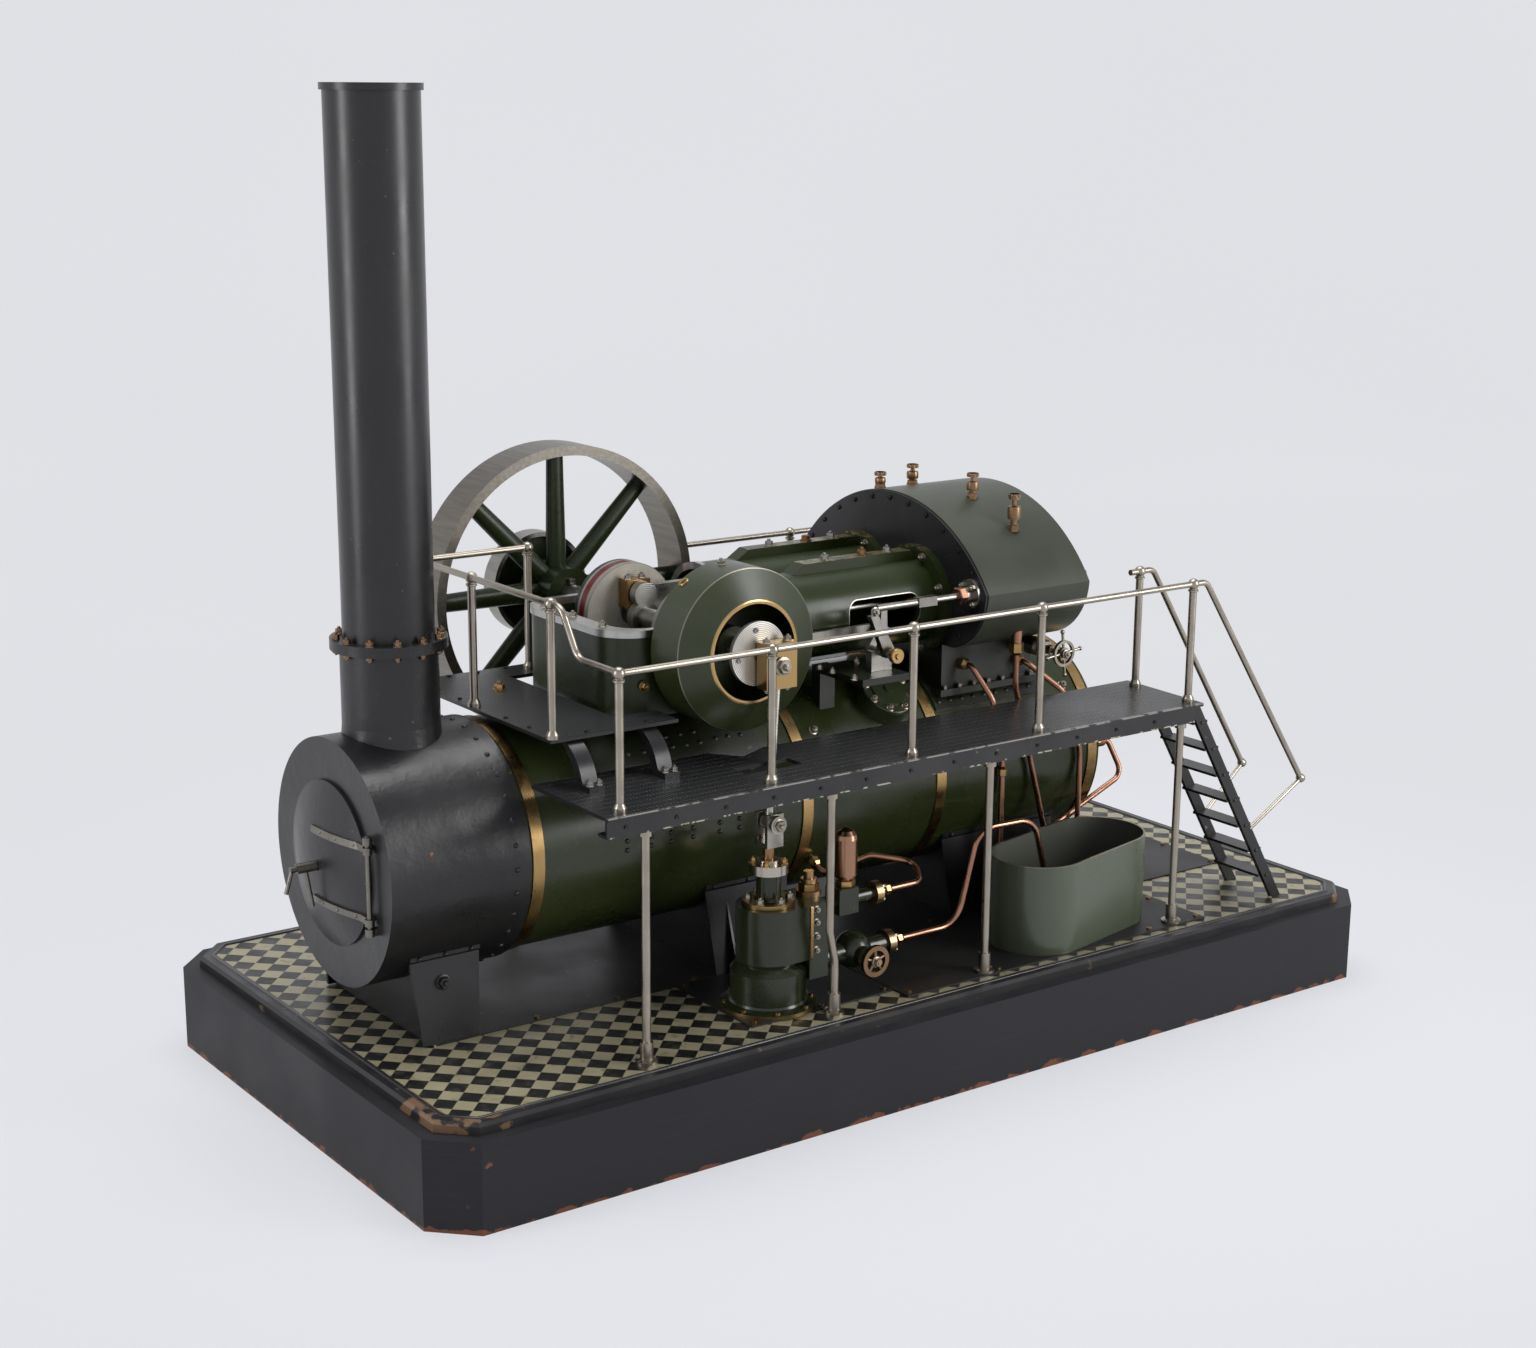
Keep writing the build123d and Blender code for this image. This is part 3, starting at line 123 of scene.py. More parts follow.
class Finish:
    """A procedural finish whose patterns read Object coordinates, in metres."""

    def __init__(self, name, slot=None, metal=0, specular=0.5):
        self.slot = slot
        self.material = bpy.data.materials.new(name)
        self.material.use_nodes = True
        self.tree = self.material.node_tree
        self.shader = self.tree.nodes["Principled BSDF"]
        self.shader.inputs["Metallic"].default_value = metal
        self.shader.inputs["Specular IOR Level"].default_value = specular
        self.place = self.node("TexCoord").outputs["Object"]
        self.height = None
        self.tone = {}

    def node(self, kind, inputs=None, **settings):
        """A shader node with its settings made, and its sockets set or linked.

        The letters X, Y and Z stand for the Object coordinates.
        """
        made = self.tree.nodes.new("ShaderNode" + kind)
        for key, value in settings.items():
            setattr(made, key, value)
        for key, value in (inputs or {}).items():
            if isinstance(value, str):
                value = self.node("SeparateXYZ", {0: self.place}).outputs[value]
            if isinstance(value, bpy.types.NodeSocket):
                self.tree.links.new(value, made.inputs[key])
            else:
                made.inputs[key].default_value = value
        return made

    def noise(self, scale, detail=3, stretch=(1, 1, 1)):
        """Soft noise with about this many spots a metre."""
        at = self.node("Mapping", {"Vector": self.place, "Scale": stretch}).outputs[0]
        return self.node("TexNoise", {"Vector": at, "Scale": scale, "Detail": detail}).outputs[0]

    def step(self, value, low, high, start=0, end=1):
        """Start up to the low value, end from the high one, and a smooth change between."""
        sockets = {"Value": value, "From Min": low, "From Max": high}
        sockets.update({"To Min": start, "To Max": end})
        return self.node("MapRange", sockets, interpolation_type="SMOOTHSTEP").outputs[0]

    def math(self, operation, first, second=0):
        """One sum on two numbers."""
        return self.node("Math", {0: first, 1: second}, operation=operation).outputs[0]

    def over(self, value, level):
        """One where the value is above a level, and nought elsewhere."""
        return self.math("GREATER_THAN", value, level)

    def under(self, value, level):
        """One where the value is below a level, and nought elsewhere."""
        return self.math("LESS_THAN", value, level)

    def both(self, first, second):
        """Where two masks meet."""
        return self.math("MULTIPLY", first, second)

    def wave(self, value, pitch):
        """A sine of the value that repeats at each pitch, in metres."""
        return self.math("SINE", self.math("MULTIPLY", value, 2 * math.pi / pitch))

    def moved(self, vector, by):
        """A vector moved by a fixed step, in metres."""
        return self.node("VectorMath", {0: vector, 1: by}, operation="ADD").outputs[0]

    def turned(self, vector, degrees):
        """A vector turned about the upright axis."""
        turn = (0, 0, math.radians(degrees))
        return self.node("Mapping", {"Vector": vector, "Rotation": turn}).outputs[0]

    def away(self, centre, across):
        """Distance from a line through the centre that runs along X, Y or Z."""
        flat = {"X": (0, 1, 1), "Y": (1, 0, 1), "Z": (1, 1, 0)}[across]
        shifted = self.moved(self.place, tuple(-c for c in centre))
        level = self.node("VectorMath", {0: shifted, 1: flat}, operation="MULTIPLY").outputs[0]
        return self.node("VectorMath", {0: level}, operation="LENGTH").outputs["Value"]

    def mix(self, factor, first, second):
        """Two colours, mixed."""
        sockets = {"Fac": factor}
        for key, tone in (("Color1", first), ("Color2", second)):
            sockets[key] = tone if isinstance(tone, bpy.types.NodeSocket) else (*tone, 1)
        return self.node("MixRGB", sockets).outputs[0]

    def bump(self, value, depth):
        """Adds a relief of this depth, in metres, to the finish."""
        sockets = {"Height": value, "Distance": depth, "Strength": 1}
        if self.height is not None:
            sockets["Normal"] = self.height
        self.height = self.node("Bump", sockets).outputs[0]
        self.tree.links.new(self.height, self.shader.inputs["Normal"])

    def put(self, **sockets):
        """Links or sets the shader's sockets: colour, rough, metal."""
        names = {"colour": "Base Color", "rough": "Roughness", "metal": "Metallic"}
        for key, value in sockets.items():
            self.tone[key] = value
            if isinstance(value, bpy.types.NodeSocket):
                self.tree.links.new(value, self.shader.inputs[names[key]])
            else:
                self.shader.inputs[names[key]].default_value = value

    def between(self, value, low, high):
        """One where the value lies between two others, and nought elsewhere."""
        return self.both(self.over(value, low), self.under(value, high))

    def cover(self, where, colour, rough, metal):
        """Lays another finish over this one where the mask is one."""
        self.put(colour=self.mix(where, self.tone["colour"], colour))
        for key, value in (("rough", rough), ("metal", metal)):
            sockets = {"Value": where, "To Min": self.tone.get(key, 0), "To Max": value}
            self.put(**{key: self.node("MapRange", sockets).outputs[0]})


paper = Finish("paper", specular=0)
paper_tone = paper.mix(paper.noise(0.8, 1), (0.735, 0.74, 0.775), (0.755, 0.76, 0.795))
paper.put(colour=paper_tone, rough=0.9)
paper.bump(paper.noise(400, 2), 0.00004)
plain = paper.node("Emission", {"Color": paper_tone, "Strength": 1}).outputs[0]
ray = paper.node("LightPath").outputs
seen = paper.math("MAXIMUM", ray["Is Camera Ray"], ray["Is Glossy Ray"])
seen = paper.math("MAXIMUM", seen, ray["Is Transmission Ray"])
level_paper = paper.step(paper.away((0, 0, 0), "Z"), 0.45, 1.15, 0.74, 1)
shown = paper.node("MixShader", {0: paper.math("MULTIPLY", seen, level_paper), 2: plain})
paper.tree.links.new(paper.shader.outputs[0], shown.inputs[1])
paper.tree.links.new(shown.outputs[0], paper.tree.nodes["Material Output"].inputs["Surface"])
floor_reach, floor_bend, wall_rise, bowl_sides, up = 3400, 1600, 3400, 96, (0, 0, 1)
bowl_outline = [(0, 20)]
for a in np.linspace(0, math.pi / 2, 14):
    bowl_outline.append((floor_bend * (1 - math.cos(a)), floor_reach + floor_bend * math.sin(a)))
bowl_outline.append((wall_rise, floor_reach + floor_bend))
bowl_points, bowl_faces = lathe(bowl_outline, (0, 0, 0), up, bowl_sides)
bowl_faces = [face[::-1] for face in bowl_faces if len(face) == 4]
bowl_faces.append(list(range(bowl_sides)))
bowl = piece("studio_bowl", [(bowl_points, bowl_faces)], paper, sharp=60)

world = bpy.data.worlds.new("studio")
world.use_nodes = True
world.node_tree.nodes["Background"].inputs["Color"].default_value = (0.74, 0.75, 0.79, 1)
world.node_tree.nodes["Background"].inputs["Strength"].default_value = 0.6
bpy.context.scene.world = world


def softbox(name, place, target, size, power):
    """A rectangular lamp that faces a point. Places and sizes in metres."""
    lamp = bpy.data.lights.new(name, "AREA")
    lamp.shape = "RECTANGLE"
    lamp.size, lamp.size_y = size
    lamp.energy = power
    held = bpy.data.objects.new(name, lamp)
    along, across, rise = np.subtract(target, place)
    tilt = math.atan2(math.hypot(along, across), -rise)
    held.location = place
    held.rotation_euler = (tilt, 0, math.atan2(across, along) - math.pi / 2)
    bpy.context.scene.collection.objects.link(held)


softbox("lamp_left", (-2.5, 0.35, 1.05), (-0.1, 0, 0.5), (0.55, 1.9), 22)
softbox("lamp_right", (1.7, -2.3, 1.2), (0, 0, 0.4), (0.9, 1.9), 52)
softbox("lamp_over", (0.2, 0.4, 3.1), (0, 0, 0.2), (2.2, 1.8), 62)

# Plinth. A hollow box of softwood boards under thin satin black paint, which has worn off
# the lower arrises and the corners down to the reddish wood.
def dress(finish, *names):
    """Gives CAD nodes a finish."""
    for name in names:
        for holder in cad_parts[name].material_slots:
            holder.material = finish.material


plinth = Finish("plinth_paint", specular=0.3)
grain = plinth.noise(60, 4, (0.25, 0.25, 6))
cloud = plinth.noise(9, 3)
low_edge = plinth.step("Z", 0, 0.009, 0.34, 0)
near_corner = plinth.away((-0.468, -0.234, 0), "Z")
near_corner = plinth.step(near_corner, 0, 0.05, 0.16, 0)
worn = plinth.math("ADD", plinth.noise(70, 5), low_edge)
bare_wood = plinth.step(plinth.math("ADD", worn, near_corner), 0.78, 0.84)
black = plinth.mix(cloud, (0.009, 0.009, 0.0118), (0.015, 0.0148, 0.0182))
streaks = plinth.step(grain, 0.55, 0.8, 0, 0.35)
black = plinth.mix(streaks, black, (0.024, 0.0225, 0.0255))
wood = plinth.mix(grain, (0.1, 0.03, 0.013), (0.2, 0.075, 0.035))
plinth_rough = plinth.step(cloud, 0.3, 0.7, 0.42, 0.56)
plinth.put(colour=plinth.mix(bare_wood, black, wood), rough=plinth_rough)
plinth.bump(grain, 0.00012)
plinth.bump(bare_wood, -0.0002)
dress(plinth, "plinth")

# Floor board. A board with a moulded black edge, its top painted in cream and black squares
# set cornerwise, varnished, yellowed and scuffed.
square = 0.015875
chequer_start = (0.409, 0.1002, 0)
border_width = 0.0135
board_cut = 0.0253
board_low, board_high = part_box("floor_board")
floor = Finish("chequer_paint", specular=0.4)
tilted = floor.turned(floor.moved(floor.place, chequer_start), 45)
level = floor.moved(tilted, (0, 0, square / 2 - board_high[2]))
squares = floor.node("TexChecker", {"Vector": level, "Scale": 1 / square}).outputs["Fac"]
scuff = floor.noise(34, 5)
blot = floor.noise(130, 4)
cream = floor.mix(scuff, (0.235, 0.21, 0.13), (0.35, 0.315, 0.205))
cream = floor.mix(floor.step(blot, 0.56, 0.76), cream, (0.16, 0.15, 0.085))
rubbed = floor.step(blot, 0.5, 0.75)
ink = floor.mix(rubbed, (0.01, 0.0095, 0.0095), (0.04, 0.038, 0.028))
from_side = floor.math("ABSOLUTE", "Y")
from_end = floor.math("ABSOLUTE", "X")
cut_line = board_high[0] + board_high[1] - board_cut - border_width * 1.414
edge = floor.under("Z", board_high[2] - 0.0004)
for reach, line in (
    (from_side, board_high[1] - border_width),
    (from_end, board_high[0] - border_width),
    (floor.math("ADD", from_side, from_end), cut_line),
):
    edge = floor.math("MAXIMUM", edge, floor.over(reach, line))
border = floor.mix(scuff, (0.011, 0.011, 0.013), (0.022, 0.021, 0.021))
left_patch = floor.away((board_low[0], -0.19, 0), "Z")
left_patch = floor.step(left_patch, 0, 0.09, 0.22, 0)
scraped = floor.math("ADD", floor.noise(60, 5), left_patch)
border = floor.mix(floor.step(scraped, 0.66, 0.72), border, (0.17, 0.1, 0.055))
floor_tone = floor.mix(edge, floor.mix(squares, ink, cream), border)
floor.put(colour=floor_tone, rough=floor.step(scuff, 0.3, 0.7, 0.28, 0.45))
floor.bump(blot, 0.00006)
dress(floor, "floor_board")

half_x, half_y, board_top = (1000 * side for side in board_high)
bead_in, bead_across, bead_rise, mitre = 10.5, 1.7, 1.5, 0.586
t = np.linspace(0, np.pi, 9)
inset = bead_in - bead_across * np.cos(t)
lift = board_top - 0.4 + bead_rise * np.sin(t)
corner_cut = 1000 * board_cut - mitre * inset
edge_x, edge_y = half_x - inset, half_y - inset
near_x, near_y = edge_x - corner_cut, edge_y - corner_cut
corners = [(edge_x, near_y), (near_x, edge_y), (-near_x, edge_y), (-edge_x, near_y)]
corners += [(-edge_x, -near_y), (-near_x, -edge_y), (near_x, -edge_y), (edge_x, -near_y)]
bead_rings = np.stack([np.stack((x, y, lift), axis=1) for x, y in corners], axis=1)
bead = Finish("bead_paint", "plinth_black")
bead_tone = bead.mix(bead.noise(50, 4), (0.01, 0.01, 0.011), (0.02, 0.019, 0.019))
bead.put(colour=bead_tone, rough=0.22)
bead.bump(bead.noise(200, 3), 0.00004)
piece("board_bead", [grid(bead_rings[None])], bead)


# Black enamel. Smokebox, chimney, front plate, saddles and brackets are steel and iron under
# satin black enamel with dust, fine scratches and small chips.
def enamel(
    name, slot, deep, pale, rough, chips,
    bare=(0.06, 0.055, 0.04), depth=0.00005, specular=0.5,
):
    """Brushed enamel: two tones in soft clouds, dusty fine grain, and chips above a noise level."""
    made = Finish(name, slot, specular=specular)
    cloud = made.noise(14, 4)
    grain = made.noise(260, 3)
    colour = made.mix(cloud, deep, pale)
    dust = made.step(grain, 0.6, 0.85, 0, 0.08)
    colour = made.mix(dust, colour, (0.18, 0.17, 0.15))
    gone = made.step(made.noise(120, 5), chips, chips + 0.02)
    colour = made.mix(gone, colour, bare)
    made.put(colour=colour, rough=made.step(cloud, 0.3, 0.7, rough, rough + 0.12))
    made.bump(grain, depth)
    made.bump(gone, -0.00005)
    return made


black_enamel = enamel(
    "black_enamel", "black_enamel", (0.008, 0.008, 0.009), (0.0135, 0.0135, 0.0147),
    rough=0.25, chips=0.735, bare=(0.1, 0.055, 0.03),
)
dress(black_enamel, "chimney_stack", "casing_front_plate", "boiler_saddles", "platform_brackets")
smokebox = enamel(
    "smokebox_enamel", "black_enamel", (0.0085, 0.0085, 0.0094), (0.015, 0.015, 0.016),
    rough=0.27, chips=0.72, bare=(0.12, 0.055, 0.028), depth=0.00012,
)
smokebox.bump(smokebox.noise(75, 3), 0.00035)
rust = smokebox.away((-0.4215, -0.0975, 0.2453), "Y")
rust = smokebox.step(rust, 0.0005, 0.0035, 0.3, 0)
rust = smokebox.math("ADD", rust, smokebox.noise(300))
smokebox.cover(smokebox.step(rust, 0.76, 0.82), (0.3, 0.1, 0.035), 0.7, 0)
dress(smokebox, "smokebox", "chimney_base", "smokebox_door")


# Smokebox rivets, chimney joint. A ring of snap heads closes the drum's seam, and twelve
# nuts draw the stack down on its base; one bolt has been replaced with a copper one.
def bright(name, slot, deep, pale, rough, grime, depth=0.000002, stretch=(1, 1, 1)):
    """Bare metal: two tones, fine tool marks, and darker oily patches above a noise level."""
    made = Finish(name, slot, metal=1)
    cloud = made.noise(60, 4)
    fine = made.noise(900, 2, stretch)
    dirty = made.step(made.noise(420, 4), grime, grime + 0.14, 0, 0.35)
    colour = made.mix(dirty, made.mix(cloud, deep, pale), tuple(c * 0.3 for c in deep))
    made.put(colour=colour, rough=made.step(cloud, 0.3, 0.7, rough, rough + 0.14), metal=1)
    made.bump(fine, depth)
    return made


def rivets(places, axes, radius):
    """Snap heads: a quarter circle carried round the axis."""
    t = np.linspace(0, math.pi / 2 * 0.93, 5)
    rise = np.stack((0.8 * radius * np.sin(t), radius * np.cos(t)), axis=1)
    return [lathe(np.concatenate(([(-0.5, radius)], rise)), places, axes, 10)]


def nuts(places, axes, across, high, washer=True):
    """Hexagon nuts with a chamfered top, a stud end with a rounded tip, and a washer."""
    corner = across / math.sqrt(3)
    hexagon = [(-0.4, corner), (high * 0.82, corner), (high, corner * 0.88)]
    stud = across * 0.27
    tip = [(high - 0.1, stud), (high + stud * 0.8, stud), (high + stud * 1.15, stud * 0.75)]
    parts = [lathe(hexagon, places, axes, 6), lathe(tip, places, axes, 10)]
    if washer:
        flat = corner * 1.22
        parts.append(lathe([(-0.4, flat), (0.35, flat), (0.5, flat * 0.94)], places, axes, 16))
    return parts


def round_barrel(xs, angles, radius):
    """Places and outward directions on a drum about the boiler's line, angles from the top.

    The place is the line's point at x, moved by the radius along (0, -sin angle, cos angle).
    """
    x, a = np.broadcast_arrays(np.asarray(xs, float), np.radians(angles))
    away = np.stack((0 * a, -np.sin(a), np.cos(a)), axis=-1).reshape(-1, 3)
    middle = np.stack((x, 0 * x, 0 * x + boiler_z), axis=-1).reshape(-1, 3)
    return middle + radius * away, away


def ring_of(count, radius, centres, axis, start=0):
    """Places evenly round one circle or more, square to X, Y or Z."""
    places = np.repeat(np.atleast_2d(np.asarray(centres, float)), count, axis=0)
    t = math.radians(start) + np.arange(len(places)) * 2 * np.pi / count
    flat = {"X": (1, 2), "Y": (0, 2), "Z": (0, 1)}[axis]
    places[:, flat[0]] += radius * np.cos(t)
    places[:, flat[1]] += radius * np.sin(t)
    return places


boiler_z = 219
seam_count, seam_x, drum_radius = 32, -348, 100.8
seam_turn = np.arange(seam_count) * 360 / seam_count
seam, seam_out = round_barrel(seam_x, seam_turn, drum_radius)
piece("smokebox_rivets", rivets(seam, seam_out, 2.3), smokebox)
bronze = bright("bronze", "brass", (0.19, 0.115, 0.062), (0.31, 0.2, 0.115), 0.28, 0.6)
copper = bright("copper", "copper", (0.3, 0.145, 0.09), (0.46, 0.25, 0.165), 0.24, 0.62)
joint_thick, down = 8.4, (0, 0, -1)
joint_ring = ring_of(12, 41.6, (-402.5, 0, 396.2), "Z", 12)
top_nuts = nuts(joint_ring[1:], up, 5.2, 3.6)
under_nuts = nuts(joint_ring - (0, 0, joint_thick), down, 5.2, 3, False)
piece("chimney_nuts", top_nuts + under_nuts, bronze)
piece("chimney_copper_bolt", nuts(joint_ring[:1], up, 5, 3.4), copper)

# Door furniture. Flat steel straps carry the dished door, pinned through with small rivets,
# and the two dart handles end in turned knobs.
door_steel = bright(
    "door_steel", "bright_steel", (0.15, 0.138, 0.118), (0.27, 0.255, 0.225), 0.3, 0.56
)
dress(door_steel, "door_straps", "door_hinge_pin", "door_dart")
dish_radius, dish_middle_x, strap_thick = 193.1, -460.8 + 181.1, 1.7
front = (-1, 0, 0)
strap_points = []
for strap_z in (190, 248):
    for strap_y in (-52, -30, -8):
        reach = math.sqrt(dish_radius**2 - strap_y**2 - (strap_z - boiler_z) ** 2)
        strap_points.append((dish_middle_x - reach - strap_thick, strap_y, strap_z))
piece("strap_rivets", rivets(strap_points, front, 1.5), door_steel, "smokebox_door")


# Barrel. Planished lagging sheet under gloss green enamel, drawn tight by brass bands with
# small clamp screws under the belly; steel bolts stand in its shoulder.
def screws(places, axes, radius, turn=0.6):
    """Cheese heads: a round base and two half-moons with the slot between them."""
    t = np.linspace(-1.32, 1.32, 8)
    moon = np.stack((np.cos(t), np.sin(t)), axis=1)
    rise = [(0.3 * radius, radius), (0.62 * radius, radius), (0.72 * radius, radius * 0.9)]
    halves = [carry(half, rise, places, axes, turn) for half in (moon, -moon)]
    return [lathe([(-0.4, radius), (0.32 * radius, radius)], places, axes, 14)] + halves


green_enamel = enamel(
    "green_enamel", "green_enamel", (0.018, 0.0245, 0.0065), (0.03, 0.039, 0.0115),
    rough=0.2, chips=0.82, bare=(0.03, 0.03, 0.02), depth=0.00002,
)
green_enamel.bump(green_enamel.noise(9, 2), 0.0006)
dress(green_enamel, "boiler")
casting_green = enamel(
    "casting_green", "green_enamel", (0.012, 0.018, 0.0038), (0.021, 0.03, 0.007),
    rough=0.26, chips=0.78, depth=0.00006,
)
casting_green.bump(casting_green.noise(120, 3), 0.00012)
dress(casting_green, "manhole")
brass = bright("brass", "brass", (0.36, 0.225, 0.085), (0.52, 0.35, 0.155), 0.24, 0.6)
nickel = bright("nickel", "nickel", (0.29, 0.258, 0.21), (0.43, 0.39, 0.33), 0.27, 0.64)
dress(brass, "boiler_bands")
back = (1, 0, 0)
clamp, clamp_out = round_barrel((-326.5, -60, 88, 270), 180, 98.4)
clamp_parts = screws(clamp, clamp_out, 2.6) + nuts(clamp + (0, 9, 0.6), clamp_out, 4, 3)
piece("band_clamps", clamp_parts, brass)
bolts, bolts_out = round_barrel((-38.6, -38.6, 250, 250), (50.5, -50.5, 50.5, -50.5), 97)
piece("barrel_bolts", nuts(bolts, bolts_out, 6, 4), nickel)
back_ring = ring_of(24, 89, (283.5, 0, boiler_z), "X")
piece("back_plate_rivets", rivets(back_ring, back, 2), casting_green)
cover_rise = [(-0.5, 27), (3, 27), (4.2, 25.5), (4.2, 18), (6.4, 16.5), (6.4, 0.5)]
piece("back_cover", [lathe(cover_rise, (291, 0, boiler_z), back, 48)], casting_green)
back_nuts = ring_of(8, 22, (295.2, 0, boiler_z), "X")
piece("back_cover_nuts", nuts(back_nuts, back, 4.6, 3), nickel)

# Riveted plates. Dark steel saddle plates lie on the lagging under the crank bed and the
# cylinders, held by rows of rivets along their edges.
plate_dark = enamel(
    "plate_dark", "dark_plate", (0.0085, 0.0105, 0.0045), (0.017, 0.0195, 0.0095),
    rough=0.3, chips=0.7, bare=(0.1, 0.075, 0.04), depth=0.00008,
)
dress(plate_dark, "riveted_plates")
upper_row = np.array([
    (-183.6, 40.2), (-181.4, 46.2), (-168.9, 40), (-167.8, 46.5), (-155.5, 40),
    (-154.1, 46.5), (-138, 46), (-125.3, 45.9), (-112.6, 46.2), (-196, 46.2),
    (-115.2, 41.1), (-210, 46.2), (-225, 46),
])
lower_x = np.repeat((-243, -219.6, -200.1, -178.2, -151.5, -131.3, -112), 2)
lower_row = np.column_stack((lower_x, np.tile((87.6, 92.2), 7)))
rows = np.concatenate((upper_row, upper_row * (1, -1), lower_row, lower_row * (1, -1)))
row_out = np.where(np.abs(rows[:, 1]) < 74, 98.3, 96.9)
front_rows, front_out = round_barrel(rows[:, 0], rows[:, 1], row_out[:, None])
rear_x = np.tile(np.arange(103, 224, 13.3), 2)
rear_turn = np.repeat((48, -48), len(rear_x) // 2)
rear_rows, rear_out = round_barrel(rear_x, rear_turn, 98.3)
plate_rows = np.concatenate((front_rows, rear_rows))
piece("plate_rivets", rivets(plate_rows, np.concatenate((front_out, rear_out)), 2.3), plate_dark)


# Boiler stools. Bent sheet saddles, bolted through their flanges to the drum and screwed to
# the floor plate.
def pair(x, y, z):
    """The same place on the near side and on the far side."""
    return [(x, -y, z), (x, y, z)]


stool_x = np.tile((-425, -402, -379, -145, -110, -75, 117, 173, 230), 2)
stool_side = np.repeat((-1, 1), 9)
stool_drum = np.where(stool_x < -300, 103, 99)
stool_z = boiler_z - np.sqrt((stool_drum + 0.3) ** 2 - 78**2) + 2.5
stool_bolts = np.column_stack((stool_x, stool_side * 79.6, stool_z))
stool_out = np.column_stack((0 * stool_z, stool_side, 0 * stool_z - 0.55))
piece("stool_bolts", rivets(stool_bolts, stool_out, 2), black_enamel)
hex_bolts = nuts(pair(-405.4, 80.5, 131.4), pair(0, 1, 0.12), 9, 5)
piece("saddle_hex_bolts", hex_bolts, black_enamel)

# Floor plates. Blued sheet under thin enamel, screwed down along their edges, with the front
# edge worn bright.
plate_enamel = enamel(
    "plate_enamel", None, (0.012, 0.012, 0.0118), (0.02, 0.02, 0.019),
    rough=0.42, chips=0.7, bare=(0.09, 0.08, 0.06), specular=0.35,
)
plate_enamel.cover(plate_enamel.under("X", -0.4168), (0.42, 0.38, 0.3), 0.35, 1)
dress(plate_enamel, "floor_plates")
dull_brass = bright("dull_brass", "brass", (0.2, 0.115, 0.045), (0.36, 0.22, 0.095), 0.3, 0.56)
long_edge = (-411, -322, -245, -168, -80, 10, 92, 170, 243)
plate_screws = [(x, side * 83) for side in (-1, 1) for x in long_edge]
plate_screws += [(-184, -193), (-117, -194), (-51, -193), (-184, -94), (-51, -94)]
plate_screws += [(-38, -211), (60, -212), (150, -212), (240, -212), (300, -211)]
plate_screws += [(-38, -94), (300, -94), (300, -150)]
plate_screws += [(312, -102), (431, -102), (431, -37), (431, 29), (312, 29), (370, 29)]
plate_screws += [(-364.7, -57.5)]
plate_screws = [(x, y, 83.5) for x, y in plate_screws]
piece("floor_screws", screws(plate_screws, up, 2.4, 0.9), dull_brass)

# Crank bed. A deep green casting whose rim and lip are machined bright, with brass bearings
# under caps that are held by two studs each.
bed = enamel(
    "bed_paint", None, (0.0125, 0.0195, 0.0048), (0.022, 0.032, 0.0085),
    rough=0.28, chips=0.76, bare=(0.07, 0.065, 0.05), depth=0.00008, specular=0.45,
)
bed.bump(bed.noise(130, 3), 0.00015)
tool_marks = bed.noise(55, 4, (1, 1, 4))
tool_marks = bed.mix(tool_marks, (0.36, 0.36, 0.34), (0.58, 0.58, 0.56))
bed_rim = bed.step("Z", 0.3846, 0.3852)
bed.cover(bed_rim, tool_marks, 0.3, 1)
dress(bed, "crank_bed")
dress(brass, "main_bearings")
shaft_x, shaft_z, cap_top = -145, 375, 394
near, far = (0, -1, 0), (0, 1, 0)
cap_studs = [(shaft_x + dx, y, cap_top) for y in (-76, 76) for dx in (-10, 10)]
piece("bearing_nuts", nuts(cap_studs, up, 5.2, 3.6), nickel)
cup_foot = [(-0.5, 2), (2.2, 2), (2.6, 3.6), (7.5, 3.6)]
cup_cap = [(8.2, 3), (8.2, 1.2), (10, 1.2), (10.4, 0.7)]
oil_cups = lathe(cup_foot + cup_cap, pair(shaft_x, 76, cap_top), up, 20)
piece("bearing_oil_cups", [oil_cups], brass)
piece("bed_studs", nuts([(-233, y, 391) for y in (-46, 0, 46)], up, 5.5, 3.4), nickel)
bed_feet = [(-95, -79.7, 345), (-215, -79.7, 345)]
piece("bed_foot_nuts", nuts(bed_feet, near, 6.5, 4.2), dull_brass)

# Crankshaft. Forged and turned steel, whose two balance discs are deep red and grey round the rim
# and show the rings of the lathe tool on their bare faces; the pale cream, unmetallic tone of the
# faces is painted sheen.
shaft_line = (0.001 * shaft_x, 0, 0.001 * shaft_z)
shaft = bright("shaft_steel", None, (0.24, 0.23, 0.21), (0.42, 0.41, 0.385), 0.27, 0.58)
from_shaft = shaft.away(shaft_line, "Y")
side_y = shaft.math("ABSOLUTE", "Y")
on_disc = shaft.between(side_y, 0.0488, 0.0703)
on_face = shaft.both(on_disc, shaft.between(from_shaft, 0.0095, 0.0434))
on_rim = shaft.both(on_disc, shaft.over(from_shaft, 0.0434))
tool_rings = shaft.wave(from_shaft, 0.0016)
# The bare disc faces get a pale cream, unmetallic tone: painted sheen of turned steel. The darker
# lathe rings are real.
bare_face_painted_sheen = shaft.mix(shaft.noise(90, 4), (0.36, 0.33, 0.27), (0.56, 0.53, 0.46))
ring_lines = shaft.step(tool_rings, 0.2, 0.95, 0, 0.35)
bare_face_painted_sheen = shaft.mix(ring_lines, bare_face_painted_sheen, (0.2, 0.18, 0.14))
shaft.cover(on_face, bare_face_painted_sheen, 0.42, 0)
shaft.cover(on_rim, (0.2, 0.19, 0.165), 0.36, 0)
red_stripe = shaft.both(on_rim, shaft.between(side_y, 0.0545, 0.0625))
shaft.cover(red_stripe, (0.105, 0.01, 0.009), 0.32, 0)
dark_stripe = shaft.both(on_rim, shaft.over(side_y, 0.0655))
shaft.cover(dark_stripe, (0.03, 0.03, 0.028), 0.35, 0)
